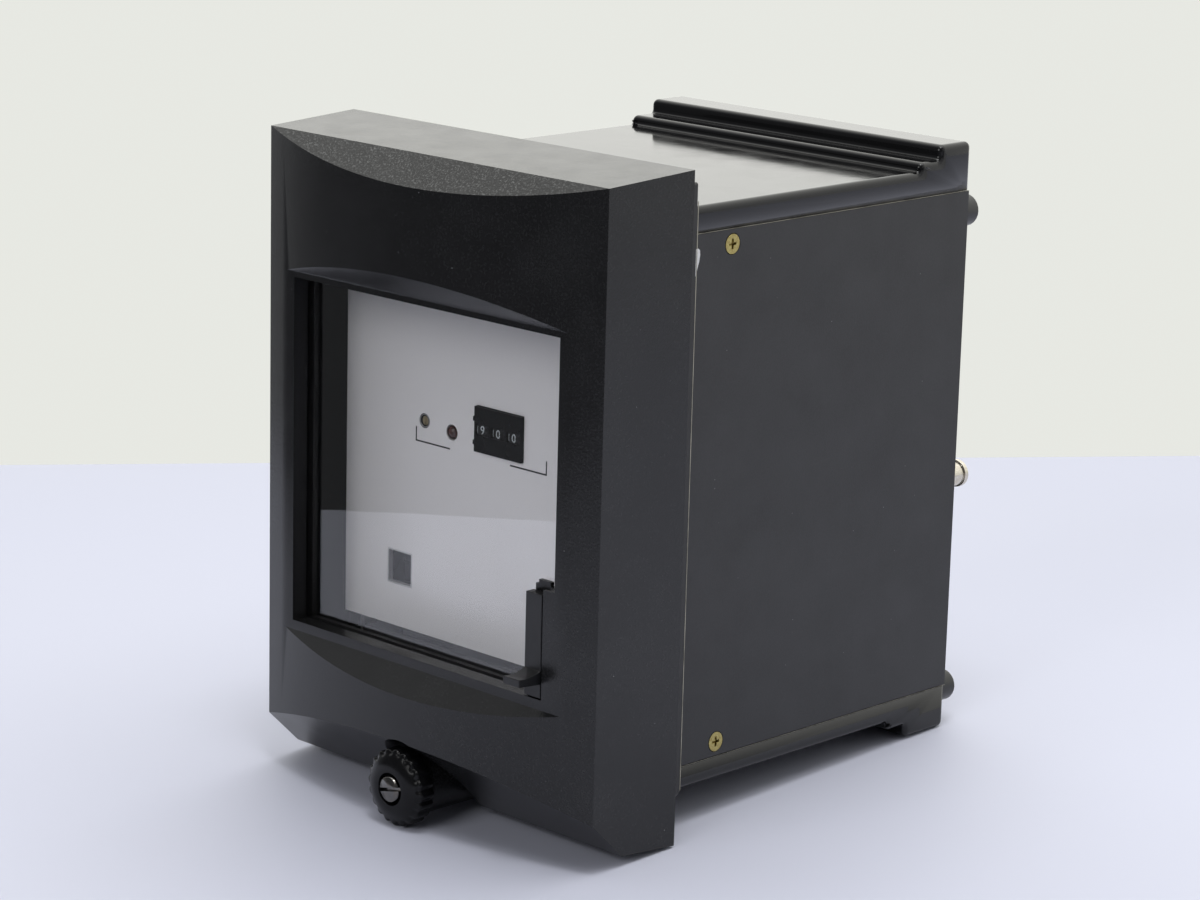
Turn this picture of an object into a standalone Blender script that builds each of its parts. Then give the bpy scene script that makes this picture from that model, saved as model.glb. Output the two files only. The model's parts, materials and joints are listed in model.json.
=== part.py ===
"""Draw-out panel protection relay, in metres, +Z up, +Y towards the back.

The pieces are drawn from the cover's datum: x = 0 on the middle plane, y = 0 at the
cover's front corners, z = 0 at the cover's rear bottom edge. An empty then carries them
to the model's own origin, on the floor under the middle of the relay.
"""
import math

import bmesh
import bpy
from mathutils import Matrix, Vector

# Fits
SEAT = 0.0003
RUNNING = 0.0004

# Cover
COVER_WIDTH = 0.1690
COVER_HEIGHT = 0.2362
COVER_DEPTH = 0.0398
COVER_WALL = 0.0032
SEAT_RIM = 0.0030
COVER_BOW = 0.0122
COVER_BOW_STEPS = 36
SIDE_DRAFT = 0.0007
TOP_DRAFT = 0.0023
BOTTOM_DRAFT = 0.0021
TOP_FACET_SLOPE = 0.773
CHIN_HEIGHT = 0.0159
CHIN_SLOPE = 0.964
COVER_EDGE = 0.0007

# Window of the cover
WINDOW_STILE = 0.0179
WINDOW_WIDTH = COVER_WIDTH - 2 * WINDOW_STILE
WINDOW_SILL = 0.0560
WINDOW_HEAD = 0.0539
WINDOW_HEIGHT = COVER_HEIGHT - WINDOW_HEAD - WINDOW_SILL
FRAME_SIDE = 0.0038
FRAME_TOP = 0.0021
FRAME_BOTTOM = 0.0035
UPPER_FACET_SLOPE = 1.03
LOWER_FACET_SLOPE = 0.92
REVEAL_DEPTH = 0.0062
PANE_LAP = 0.0030
PANE_THICKNESS = 0.0030
PANE_RIM = 0.0040
RETAINER_BAND = 0.0055
RETAINER_THICKNESS = 0.0020

# Reset slide and its guide in the window's lower right corner
GUIDE_WIDTH = 0.0053
GUIDE_HEIGHT = 0.0390
GUIDE_BACK_WIDTH = 0.0082
GUIDE_BACK_RISE = 0.0015
GUIDE_BACK_THICKNESS = 0.0016
SLIDE_WIDTH = 0.0077
SLIDE_HEIGHT = 0.0365
SLIDE_GAP = 0.0010
SLIDE_SETBACK = 0.0004
TONGUE_REACH = 0.0026
TONGUE_THICKNESS = 0.0014
TAB_LENGTH = 0.0100
TAB_HEIGHT = 0.0048
TAB_RISE = 0.0050
TAB_TIP_HEIGHT = 0.0028
TAB_DROOP = 0.0012

# Thumbscrew and the pocket that it sits in
KNOB_AXIS_Z = 0.0114
KNOB_RADIUS = 0.0140
KNOB_RIM_Y = -0.0141
KNOB_LENGTH = 0.0066
KNOB_DOME = 0.0022
KNOB_LOBES = 20
KNOB_LOBE_STEPS = 3
KNOB_SCALLOP = 0.0008
KNOB_BORE_RADIUS = 0.0028
SCREW_HEAD_RADIUS = 0.00485
SCREW_HEAD_HEIGHT = 0.0030
SCREW_HEAD_PROUD = 0.0004
SCREW_HEAD_RECESS_GAP = 0.0009
SCREW_SHANK_RADIUS = 0.0024
SCREW_SLOT_WIDTH = 0.0012
SCREW_SLOT_DEPTH = 0.0013
SCREW_SLOT_TURN = 13.0
POCKET_RADIUS = 0.0170
POCKET_REAR_Y = 0.0260
POCKET_WALL = 0.0030
BOSS_RADIUS = 0.0115

# Mounting flange
FLANGE_INSET = 0.0059
FLANGE_WIDTH = COVER_WIDTH - 2 * FLANGE_INSET
FLANGE_TOP_DROP = 0.0058
FLANGE_TOP_Z = COVER_HEIGHT - FLANGE_TOP_DROP
FLANGE_BOTTOM_Z = 0.0035
FLANGE_THICKNESS = 0.0084
FLANGE_CORNER_CUT = 0.0120
FLANGE_HOLE_RADIUS = 0.0026
FLANGE_HOLE_FROM_SIDE = 0.0186
FLANGE_HOLE_X = FLANGE_WIDTH / 2 - FLANGE_HOLE_FROM_SIDE
FLANGE_HOLE_INSET = 0.0050
FLANGE_EDGE = 0.0006

# Case
FLANGE_OVERHANG = 0.0062
CASE_WIDTH = FLANGE_WIDTH - 2 * FLANGE_OVERHANG
CASE_REAR_Y = 0.2012
SEAM_DROP = 0.0191
SEAM_TOP_Z = FLANGE_TOP_Z - SEAM_DROP
SEAM_BOTTOM_Z = 0.0220
CAP_WALL = 0.0030
TOP_CAP_HEIGHT = 0.0092
TOP_RIBS = ((0.1725, 0.0034), (0.1836, 0.0053))
BOTTOM_CAP_HEIGHT = 0.0083
BOTTOM_RIBS = ((0.1680, 0.0031), (0.1785, 0.0049))
RIB_CORNER = 0.0036
CAP_CORNER = 0.0022
CAP_CORNER_STEPS = 4
CAP_FILLET = 0.0013
CAP_FILLET_STEPS = 3
PANEL_THICKNESS = 0.0020
PANEL_EDGE = 0.0003

# Screws of the side panels, and the lugs of the caps that take them
PANEL_SCREW_Y = 0.0730
PANEL_SCREW_INSET = 0.0055
PANEL_SCREW_HEAD_RADIUS = 0.0036
PANEL_SCREW_HEAD_HEIGHT = 0.0018
PANEL_SCREW_SHANK_RADIUS = 0.0017
PANEL_SCREW_LENGTH = 0.0080
CROSS_WIDTH = 0.0009
CROSS_SPAN = 0.0036
CROSS_DEPTH = 0.0011
LUG_LENGTH = 0.0110
LUG_WIDTH = 0.0095
LUG_DROP = 0.0100

# Rear of the case
REAR_PANEL_THICKNESS = 0.0030
STRIP_FROM_SIDE = 0.0404
STRIP_X = CASE_WIDTH / 2 - STRIP_FROM_SIDE
STRIP_WIDTH = 0.0200
STRIP_BOTTOM_Z = 0.0360
STRIP_PROUD = 0.0055
STRIP_EDGE = 0.0008
TERMINAL_ROWS = 5
TERMINAL_PITCH = 0.0170
TERMINAL_HEAD_RADIUS = 0.0046
TERMINAL_HEAD_HEIGHT = 0.0030
TERMINAL_WASHER_RADIUS = 0.0058
TERMINAL_WASHER_HEIGHT = 0.0009
TERMINAL_SHANK_RADIUS = 0.0020
TERMINAL_SHANK_LENGTH = 0.0060
POST_FROM_SIDE = 0.0084
POST_X = CASE_WIDTH / 2 - POST_FROM_SIDE
POST_DROP = 0.0093
POST_TOP_Z = SEAM_TOP_Z - POST_DROP
POST_BOTTOM_Z = 0.0187
POST_RADIUS = 0.0060
POST_LENGTH = 0.0095
POST_ROUND = 0.0012
STUD_RISE = 0.0792
STUD_Z = SEAM_BOTTOM_Z + STUD_RISE
STUD_RADIUS = 0.0046
STUD_LIP_RADIUS = 0.0052
STUD_LENGTH = 0.0120
STUD_LIP = 0.0022

# Runners of the chassis
CRADLE_SIDE_GAP = 0.0069
CRADLE_WIDTH = CASE_WIDTH - 2 * (PANEL_THICKNESS + CRADLE_SIDE_GAP)
CRADLE_SHEET = 0.0015
CRADLE_FRONT_LIP = 0.0045
CRADLE_REAR_Y = 0.1830
CRADLE_BOTTOM_Z = 0.0420
CRADLE_TOP_DROP = 0.0133
CRADLE_TOP_Z = SEAM_TOP_Z - CRADLE_TOP_DROP
CRADLE_LIP_BOTTOM_Z = 0.0560
CRADLE_LIP_DROP = 0.0190
CRADLE_LIP_TOP_Z = CRADLE_TOP_Z - CRADLE_LIP_DROP
RUNNER_DROP = 0.0030
RUNNER_Z = (CRADLE_BOTTOM_Z + CRADLE_TOP_Z) / 2 - RUNNER_DROP
RUNNER_THICKNESS = 0.0020
RUNNER_REACH = 0.0050
RUNNER_FRONT_Y = 0.0600
RAIL_HEIGHT = 0.0080
RAIL_FRONT_Y = 0.0520
RAIL_REAR_Y = 0.1900
RAIL_FLOOR = 0.0014

# Front plate and what it carries
PLATE_SIDE_GAP = 0.0006
PLATE_WIDTH = CASE_WIDTH - 2 * (PANEL_THICKNESS + PLATE_SIDE_GAP)
PLATE_BOTTOM_Z = 0.0538
PLATE_TOP_DROP = 0.0013
PLATE_TOP_Z = WINDOW_SILL + WINDOW_HEIGHT - PLATE_TOP_DROP
PLATE_FRONT_Y = 0.0250
PLATE_THICKNESS = 0.0020
DIAL_X = 0.0099
DIAL_DROP = 0.0461
DIAL_Z = PLATE_TOP_Z - DIAL_DROP
DIAL_HEIGHT = 0.0163
DIAL_COUNT = 3
DIAL_PITCH = 0.00783
DIAL_PROUD = 0.0012
DIAL_DEPTH = 0.0200
DIAL_WALL = 0.0012
DIAL_LIP = 0.0014
DIAL_LIP_THICKNESS = 0.0010
WHEEL_RADIUS = 0.0060
WHEEL_TOOTH = 0.0005
WHEEL_TEETH = 18
WHEEL_TOOTHED_SHARE = 0.3
WHEEL_PROUD = 0.0002
WHEEL_SHAFT_RADIUS = 0.0011
POT_X = -0.0285
POT_DROP = 0.0483
POT_Z = PLATE_TOP_Z - POT_DROP
POT_HOLE_RADIUS = 0.0027
POT_BODY_RADIUS = 0.0055
POT_BODY_LENGTH = 0.0085
ADJUSTER_RADIUS = 0.0019
ADJUSTER_SETBACK = 0.0006
ADJUSTER_SLOT = 0.0006
LAMP_X = -0.0143
LAMP_DROP = 0.0500
LAMP_Z = PLATE_TOP_Z - LAMP_DROP
LAMP_RADIUS = 0.0026
LAMP_PROUD = 0.0012
LAMP_LENGTH = 0.0080
LAMP_FLANGE = 0.0006
TARGET_FROM_SIDE = 0.0230
TARGET_X = TARGET_FROM_SIDE - CRADLE_WIDTH / 2
TARGET_RISE = 0.0221
TARGET_Z = PLATE_BOTTOM_Z + TARGET_RISE
TARGET_OPENING = 0.0130
TARGET_WALL = 0.0012
TARGET_DEPTH = 0.0150
FLAG_THICKNESS = 0.0010
FLAG_PIN_RADIUS = 0.0007
FLAG_PIN_REACH = 0.0009

# Contact blocks and the plug that bridges them
BLOCK_SIDE_GAP = 0.0055
BLOCK_WIDTH = CRADLE_WIDTH - 2 * BLOCK_SIDE_GAP
BLOCK_FRONT_Y = 0.0330
CASE_BLOCK_REAR_Y = 0.0680
CASE_BLOCK_TOP_Z = 0.0415
CASE_BLOCK_STEP_Z = 0.0245
CHASSIS_BLOCK_REAR_Y = 0.0600
CHASSIS_BLOCK_HEIGHT = 0.0100
CONTACT_COUNT = 10
CONTACT_EDGE = 0.0085
CONTACT_PITCH = (BLOCK_WIDTH - 2 * CONTACT_EDGE) / (CONTACT_COUNT - 1)
BLADE_SHARE = 0.72
BLADE_WIDTH = BLADE_SHARE * CONTACT_PITCH
BLADE_THICKNESS = 0.0012
BLADE_LENGTH = 0.0120
PLUG_BOTTOM_Z = 0.0328
PLUG_TOP_Z = 0.0515
PLUG_FRONT_Y = 0.0225
PLUG_GRIP_WIDTH = BLOCK_WIDTH / 4
PLUG_GRIP_DEPTH = 0.0022
PLUG_EDGE = 0.0008

# Boards and the parts that stand on them
BOARD_THICKNESS = 0.0016
BOARD_STANDOFF = 0.0050
BOARD_STANDOFF_RADIUS = 0.0025
BOARD_FRONT_Y = 0.0500
BOARD_REAR_Y = 0.1680
BOARD_BOTTOM_Z = 0.0580
BOARD_TOP_DROP = 0.0080
BOARD_TOP_Z = CRADLE_TOP_Z - BOARD_TOP_DROP
BOARD_HOLE_INSET = 0.0060
CHIP_LENGTH = 0.0200
CHIP_WIDTH = 0.0075
CHIP_HEIGHT = 0.0035
CHIP_ROWS = 4
CHIP_COLUMNS = 2
CHIP_PITCH_Y = 0.0420
CHIP_PITCH_Z = (BOARD_TOP_Z - BOARD_BOTTOM_Z) / (CHIP_ROWS + 1)
RELAY_SIZE = (0.0250, 0.0290, 0.0220)
RELAY_EDGE = 0.0010
RELAY_Y = 0.1320
RELAY_RISE = 0.0320
RELAY_DROP = 0.0300
RELAY_Z = (BOARD_BOTTOM_Z + RELAY_RISE, BOARD_TOP_Z - RELAY_DROP)
CAPACITOR_RADIUS = 0.0100
CAPACITOR_HEIGHT = 0.0280
CAPACITOR_BEAD = 0.0006
CAPACITOR_BEAD_LOW = 0.0025
CAPACITOR_Y = 0.0850
CAPACITOR_RISE = 0.0320
CAPACITOR_PITCH = 0.0350
CAPACITOR_Z = (BOARD_BOTTOM_Z + CAPACITOR_RISE, BOARD_BOTTOM_Z + CAPACITOR_RISE + CAPACITOR_PITCH)
CORE_WIDTH = 0.0540
CORE_HEIGHT = 0.0450
CORE_DEPTH = 0.0260
CORE_DROP = 0.0480
CORE_Z = CRADLE_TOP_Z - CORE_DROP
CORE_LEG = 0.0090
WINDING_GAP = 0.0005
WINDING_OVERHANG = 0.0070

# Placement of the whole
KNOB_BOTTOM_Z = KNOB_AXIS_Z - KNOB_RADIUS
FLOOR_LIFT = -min(KNOB_BOTTOM_Z, 0.0)
FRONT_Y = KNOB_RIM_Y - KNOB_DOME - SCREW_HEAD_PROUD
REAR_Y = CASE_REAR_Y + SEAT + max(POST_LENGTH, STUD_LENGTH)


def clear_scene():
    """Removes what the start-up scene holds."""
    for thing in list(bpy.data.objects):
        bpy.data.objects.remove(thing, do_unlink=True)


def material(name, colour, roughness, metallic=0.0, alpha=1.0):
    """A Principled material with the piece's colour, roughness and metallic value."""
    made = bpy.data.materials.new(name)
    made.use_nodes = True
    shader = made.node_tree.nodes["Principled BSDF"]
    shader.inputs["Base Color"].default_value = (*colour, 1.0)
    shader.inputs["Roughness"].default_value = roughness
    shader.inputs["Metallic"].default_value = metallic
    shader.inputs["Alpha"].default_value = alpha
    return made


def empty(name, parent=None, place=(0.0, 0.0, 0.0)):
    """An empty that carries a group of pieces."""
    made = bpy.data.objects.new(name, None)
    made.empty_display_size = 0.01
    bpy.context.collection.objects.link(made)
    made.parent = parent
    made.location = place
    return made


def piece(name, mesh, finish, parent, place=(0.0, 0.0, 0.0), smooth=False):
    """An object of the given mesh, with its own material."""
    if isinstance(mesh, bmesh.types.BMesh):
        mesh = to_mesh(name, mesh)
    made = bpy.data.objects.new(name, mesh)
    bpy.context.collection.objects.link(made)
    made.parent = parent
    made.location = place
    if finish is not None:
        mesh.materials.clear()
        mesh.materials.append(finish)
    if smooth:
        mesh.shade_smooth()
        mesh.set_sharp_from_angle(angle=math.radians(35))
    return made


def to_mesh(name, shape):
    """Turns a bmesh into a mesh with its faces pointing out."""
    bmesh.ops.recalc_face_normals(shape, faces=shape.faces)
    mesh = bpy.data.meshes.new(name)
    shape.to_mesh(mesh)
    shape.free()
    return mesh


def cutter(name, mesh, parent, place=(0.0, 0.0, 0.0)):
    """A hidden tool body for a Boolean."""
    made = piece(name, mesh, None, parent, place)
    made.hide_render = True
    made.display_type = "WIRE"
    return made


def combine(target, operand, operation):
    """Adds an exact Boolean of the operand to the target."""
    step = target.modifiers.new(operand.name, "BOOLEAN")
    step.operation = operation
    step.solver = "EXACT"
    step.object = operand


def cut(target, mesh, name, place=None):
    """Cuts a shape out of the target, in the target's own space."""
    spot = target.location if place is None else place
    tool = cutter(target.name + "_" + name, mesh, target.parent, spot)
    combine(target, tool, "DIFFERENCE")
    return tool


def join(target, mesh, name, place=None):
    """Adds a shape to the target, in the target's own space."""
    spot = target.location if place is None else place
    tool = cutter(target.name + "_" + name, mesh, target.parent, spot)
    combine(target, tool, "UNION")
    return tool


def round_edges(target, width, segments=2, angle=40.0):
    """Rounds the target's sharp edges."""
    step = target.modifiers.new("round_edges", "BEVEL")
    step.width = width
    step.segments = segments
    step.limit_method = "ANGLE"
    step.angle_limit = math.radians(angle)
    step.harden_normals = False


def box(low, high, shape=None):
    """A box between two corners, added to a bmesh."""
    shape = shape or bmesh.new()
    size = Vector(high) - Vector(low)
    middle = (Vector(high) + Vector(low)) / 2
    placed = Matrix.Translation(middle) @ Matrix.Diagonal((*size, 1.0))
    bmesh.ops.create_cube(shape, size=1.0, matrix=placed)
    return shape


def prism(outline, axis, low, high, shape=None):
    """Extrudes a plane outline along X, Y or Z.

    The outline's points are (y, z) for X, (x, z) for Y and (x, y) for Z.
    """
    shape = shape or bmesh.new()
    place = {
        "X": lambda a, b, t: (t, a, b),
        "Y": lambda a, b, t: (a, t, b),
        "Z": lambda a, b, t: (a, b, t),
    }[axis]
    rings = [[shape.verts.new(place(a, b, t)) for a, b in outline] for t in (low, high)]
    shape.faces.new(rings[0])
    shape.faces.new(list(reversed(rings[1])))
    count = len(outline)
    for i in range(count):
        j = (i + 1) % count
        shape.faces.new((rings[0][j], rings[0][i], rings[1][i], rings[1][j]))
    return shape


def turned(profile, axis="Y", steps=32, lobes=0, scallop=0.0, lobed_from=1.0, shape=None):
    """Turns a closed profile of (along, radius) points about an axis.

    A point on the axis becomes a pole. From the radius lobed_from outwards the rim is
    scalloped: the radius dips by scallop between each two of the lobes.
    """
    shape = shape or bmesh.new()
    place = {
        "X": lambda t, a, b: (t, a, b),
        "Y": lambda t, a, b: (a, t, b),
        "Z": lambda t, a, b: (a, b, t),
    }[axis]
    rings = []
    for along, radius in profile:
        if radius <= 0.0:
            rings.append([shape.verts.new(place(along, 0.0, 0.0))])
            continue
        ring = []
        for k in range(steps):
            turn = 2 * math.pi * k / steps
            dip = scallop * (0.5 - 0.5 * math.cos(lobes * turn)) if radius >= lobed_from else 0.0
            reach = radius - dip
            ring.append(shape.verts.new(place(along, reach * math.cos(turn), reach * math.sin(turn))))
        rings.append(ring)
    closed = len(rings[0]) > 1
    pairs = len(rings) if closed else len(rings) - 1
    for i in range(pairs):
        bridge(shape, rings[i], rings[(i + 1) % len(rings)])
    return shape


def bridge(shape, first, second):
    """Joins two rings, or a ring and a pole, with faces."""
    steps = max(len(first), len(second))
    if len(first) == len(second) == 1:
        return
    for k in range(steps):
        n = (k + 1) % steps
        if len(first) == 1:
            shape.faces.new((first[0], second[n], second[k]))
        elif len(second) == 1:
            shape.faces.new((first[k], first[n], second[0]))
        else:
            shape.faces.new((first[k], first[n], second[n], second[k]))


def rod(radius, low, high, axis="Y", steps=24, centre=(0.0, 0.0), shape=None):
    """A plain cylinder along an axis; centre is its place across that axis."""
    shape = shape or bmesh.new()
    start = len(shape.verts)
    turned([(low, 0.0), (low, radius), (high, radius), (high, 0.0)], axis, steps, shape=shape)
    shape.verts.ensure_lookup_table()
    a, b = centre
    move = {"X": (0.0, a, b), "Y": (a, 0.0, b), "Z": (a, b, 0.0)}[axis]
    bmesh.ops.translate(shape, vec=move, verts=shape.verts[start:])
    return shape


def slice_off(shape, point, normal):
    """Removes what lies on the normal's side of a plane and closes the cut."""
    everything = shape.verts[:] + shape.edges[:] + shape.faces[:]
    result = bmesh.ops.bisect_plane(
        shape, geom=everything, plane_co=point, plane_no=normal, clear_outer=True
    )
    rim = [part for part in result["geom_cut"] if isinstance(part, bmesh.types.BMEdge)]
    bmesh.ops.edgeloop_fill(shape, edges=rim)


def bow_radius():
    """Radius of the arc that bows the cover's front."""
    half = COVER_WIDTH / 2 - SIDE_DRAFT
    return (half ** 2 + COVER_BOW ** 2) / (2 * COVER_BOW)


def face_y(x):
    """Depth of the bowed front face at a distance from the middle plane."""
    return bow_radius() - COVER_BOW - math.sqrt(bow_radius() ** 2 - x ** 2)


FRAME_Y = face_y(WINDOW_WIDTH / 2 + FRAME_SIDE)
FRAME_LOW_Z = WINDOW_SILL - FRAME_BOTTOM
FRAME_HIGH_Z = WINDOW_SILL + WINDOW_HEIGHT + FRAME_TOP
PANE_FRONT_Y = FRAME_Y + REVEAL_DEPTH
BLOCK_Y = PANE_FRONT_Y + PANE_THICKNESS + 2 * SEAT
GUIDE_LEFT_X = WINDOW_WIDTH / 2 - GUIDE_WIDTH
SLIDE_RIGHT_X = GUIDE_LEFT_X - SLIDE_GAP
SLIDE_FRONT_Y = FRAME_Y + SLIDE_SETBACK
SLIDE_REAR_Y = PANE_FRONT_Y - GUIDE_BACK_THICKNESS - RUNNING
TONGUE_Y = (SLIDE_FRONT_Y + SLIDE_REAR_Y) / 2
FLANGE_FRONT_Y = COVER_DEPTH + SEAT
FLANGE_REAR_Y = FLANGE_FRONT_Y + FLANGE_THICKNESS
CASE_FRONT_Y = FLANGE_REAR_Y + SEAT
PANEL_INNER_X = CASE_WIDTH / 2 - PANEL_THICKNESS
CRADLE_FRONT_Y = PLATE_FRONT_Y + PLATE_THICKNESS + SEAT
CRADLE_INNER_X = CRADLE_WIDTH / 2 - CRADLE_SHEET
CHASSIS_BLOCK_BOTTOM_Z = CASE_BLOCK_TOP_Z + SEAT


def cover_body(inset, rear):
    """The cover's outer form, or the same form set in by a wall, up to a rear plane."""
    arc = bow_radius() - inset
    centre_y = bow_radius() - COVER_BOW
    margin = 0.01
    half = COVER_WIDTH / 2 + margin
    spread = math.asin(half / arc)
    outline = [(half, rear), (-half, rear)]
    for k in range(COVER_BOW_STEPS + 1):
        turn = -spread + 2 * spread * k / COVER_BOW_STEPS
        outline.append((arc * math.sin(turn), centre_y - arc * math.cos(turn)))
    shape = prism(outline, "Z", -margin, COVER_HEIGHT + margin)
    front_top = COVER_HEIGHT - TOP_DRAFT
    chin_y = (CHIN_HEIGHT - BOTTOM_DRAFT) / CHIN_SLOPE
    planes = [
        ((COVER_WIDTH / 2, COVER_DEPTH, 0.0), (COVER_DEPTH, -SIDE_DRAFT, 0.0)),
        ((-COVER_WIDTH / 2, COVER_DEPTH, 0.0), (-COVER_DEPTH, -SIDE_DRAFT, 0.0)),
        ((0.0, COVER_DEPTH, COVER_HEIGHT), (0.0, -TOP_DRAFT, COVER_DEPTH)),
        ((0.0, 0.0, front_top), (0.0, -TOP_FACET_SLOPE, 1.0)),
        ((0.0, 0.0, CHIN_HEIGHT), (0.0, -CHIN_SLOPE, -1.0)),
        ((0.0, COVER_DEPTH, 0.0), (0.0, -BOTTOM_DRAFT, -(COVER_DEPTH - chin_y))),
    ]
    for point, normal in planes:
        outward = Vector(normal).normalized()
        slice_off(shape, Vector(point) - outward * inset, outward)
    return shape


def facet_reach(slope, ahead):
    """Height that a window facet gains over a stretch towards the front."""
    return slope * ahead


def window_facets():
    """The wedge that cuts the sloped facets above and below the window."""
    ahead = COVER_BOW
    front = FRAME_Y - ahead
    side = COVER_WIDTH / 2
    outline = [
        (FRAME_Y, FRAME_LOW_Z),
        (FRAME_Y, FRAME_HIGH_Z),
        (front, FRAME_HIGH_Z + facet_reach(UPPER_FACET_SLOPE, ahead)),
        (front, FRAME_LOW_Z - facet_reach(LOWER_FACET_SLOPE, ahead)),
    ]
    return prism(outline, "X", -side, side)


def window_block():
    """The thick surround of the window, which the cover's hollow leaves standing."""
    ahead = 2 * COVER_BOW
    front = FRAME_Y - ahead
    rise = PANE_LAP + PANE_RIM
    high = WINDOW_SILL + WINDOW_HEIGHT + rise
    low = WINDOW_SILL - rise
    wall_up = COVER_WALL * math.hypot(1.0, UPPER_FACET_SLOPE)
    wall_down = COVER_WALL * math.hypot(1.0, LOWER_FACET_SLOPE)
    bend_up = max(0.0, (high - FRAME_HIGH_Z - wall_up) / UPPER_FACET_SLOPE)
    bend_down = max(0.0, (FRAME_LOW_Z - wall_down - low) / LOWER_FACET_SLOPE)
    outline = [
        (BLOCK_Y, low),
        (BLOCK_Y, high),
        (FRAME_Y - bend_up, high),
        (front, high + facet_reach(UPPER_FACET_SLOPE, ahead - bend_up)),
        (front, low - facet_reach(LOWER_FACET_SLOPE, ahead - bend_down)),
        (FRAME_Y - bend_down, low),
    ]
    side = WINDOW_WIDTH / 2 + rise
    return prism(outline, "X", -side, side)


def window_rectangle(grow, front, rear):
    """A box over the window's opening, grown on all four sides."""
    side = WINDOW_WIDTH / 2 + grow
    low = WINDOW_SILL - grow
    high = WINDOW_SILL + WINDOW_HEIGHT + grow
    return box((-side, front, low), (side, rear, high))


def guide_keep(front, rear):
    """What the window's opening leaves standing as the reset slide's guide.

    In plan it is a block with a groove for the slide's tongue and a thinner plate that
    runs behind the slide; the facets and the pane's recess trim it in front and behind.
    """
    bite = 0.001
    right = WINDOW_WIDTH / 2 + bite
    left = GUIDE_LEFT_X - GUIDE_BACK_WIDTH
    low = WINDOW_SILL - bite
    block_top = WINDOW_SILL + GUIDE_HEIGHT
    back_y = PANE_FRONT_Y - GUIDE_BACK_THICKNESS
    groove_low = TONGUE_Y - TONGUE_THICKNESS / 2 - RUNNING
    groove_high = TONGUE_Y + TONGUE_THICKNESS / 2 + RUNNING
    groove_x = SLIDE_RIGHT_X + TONGUE_REACH + RUNNING
    outline = [
        (right, front),
        (right, rear),
        (left, rear),
        (left, back_y),
        (GUIDE_LEFT_X, back_y),
        (GUIDE_LEFT_X, groove_high),
        (groove_x, groove_high),
        (groove_x, groove_low),
        (GUIDE_LEFT_X, groove_low),
        (GUIDE_LEFT_X, front),
    ]
    return prism(outline, "Z", low, block_top)


def make_window(cover, front):
    """Cuts the facets, the opening with its guide, and the pane's recess."""
    cut(cover, window_facets(), "facets")
    opening = cut(cover, window_rectangle(0.0, front, BLOCK_Y + SEAT), "opening")
    cut(opening, guide_keep(front - 0.001, BLOCK_Y + 0.001), "guide")
    left = GUIDE_LEFT_X - GUIDE_BACK_WIDTH + GUIDE_BACK_RISE
    upstand_low = WINDOW_SILL + GUIDE_HEIGHT / 2
    upstand_high = WINDOW_SILL + GUIDE_HEIGHT + GUIDE_BACK_RISE
    back_y = PANE_FRONT_Y - GUIDE_BACK_THICKNESS
    upstand = box((left, back_y, upstand_low), (GUIDE_LEFT_X - 0.001, BLOCK_Y + 0.001, upstand_high))
    cut(opening, upstand, "upstand")
    cut(cover, window_rectangle(PANE_LAP, PANE_FRONT_Y, BLOCK_Y + 0.002), "pane_recess")


def make_cover(parent):
    """The moulded cover: bowed front, facets, framed window, guide, pocket and boss."""
    finish = material("black_moulding", (0.018, 0.018, 0.019), 0.55)
    cover = piece("cover", cover_body(0.0, COVER_DEPTH), finish, parent)
    round_edges(cover, COVER_EDGE, 2, 25.0)
    rim_y = COVER_DEPTH - SEAT_RIM
    hollow = cut(cover, cover_body(COVER_WALL, rim_y), "hollow")
    cut(hollow, window_block(), "window_block")
    pocket_wall = POCKET_RADIUS + POCKET_WALL
    front = -2 * COVER_BOW
    axis = (0.0, KNOB_AXIS_Z)
    cut(hollow, rod(pocket_wall, front, POCKET_REAR_Y + POCKET_WALL, centre=axis, steps=48), "pocket_wall")
    mouth = box((-PANEL_INNER_X, rim_y - SEAT_RIM / 2, SEAM_BOTTOM_Z), (PANEL_INNER_X, COVER_DEPTH + SEAT_RIM, SEAM_TOP_Z))
    cut(cover, mouth, "mouth")
    make_window(cover, front)
    cut(cover, rod(POCKET_RADIUS, front, POCKET_REAR_Y, centre=axis, steps=48), "pocket")
    boss_front = KNOB_RIM_Y + KNOB_LENGTH + SEAT
    boss_rear = POCKET_REAR_Y + POCKET_WALL / 2
    join(cover, rod(BOSS_RADIUS, boss_front, boss_rear, centre=axis, steps=44), "boss")
    bore = SCREW_SHANK_RADIUS + RUNNING
    cut(cover, rod(bore, front, COVER_DEPTH + SEAT_RIM, centre=axis, steps=24), "screw_bore")
    return cover


def make_pane(parent):
    """The clear pane, set in its recess from behind."""
    finish = material("clear_pane", (0.9, 0.92, 0.93), 0.05, alpha=0.25)
    front = PANE_FRONT_Y + SEAT
    shape = window_rectangle(PANE_LAP - SEAT, front, front + PANE_THICKNESS)
    return piece("window_pane", shape, finish, parent)


def make_pane_retainer(parent):
    """The thin frame that holds the pane in the cover."""
    finish = material("retainer_black", (0.02, 0.02, 0.02), 0.6)
    front = BLOCK_Y + SEAT
    rear = front + RETAINER_THICKNESS
    outer = window_rectangle(PANE_LAP + PANE_RIM - 0.001, front, rear)
    retainer = piece("pane_retainer", outer, finish, parent)
    inner = PANE_LAP + PANE_RIM - 0.001 - RETAINER_BAND
    cut(retainer, window_rectangle(inner, front - 0.001, rear + 0.001), "opening")
    return retainer


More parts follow.
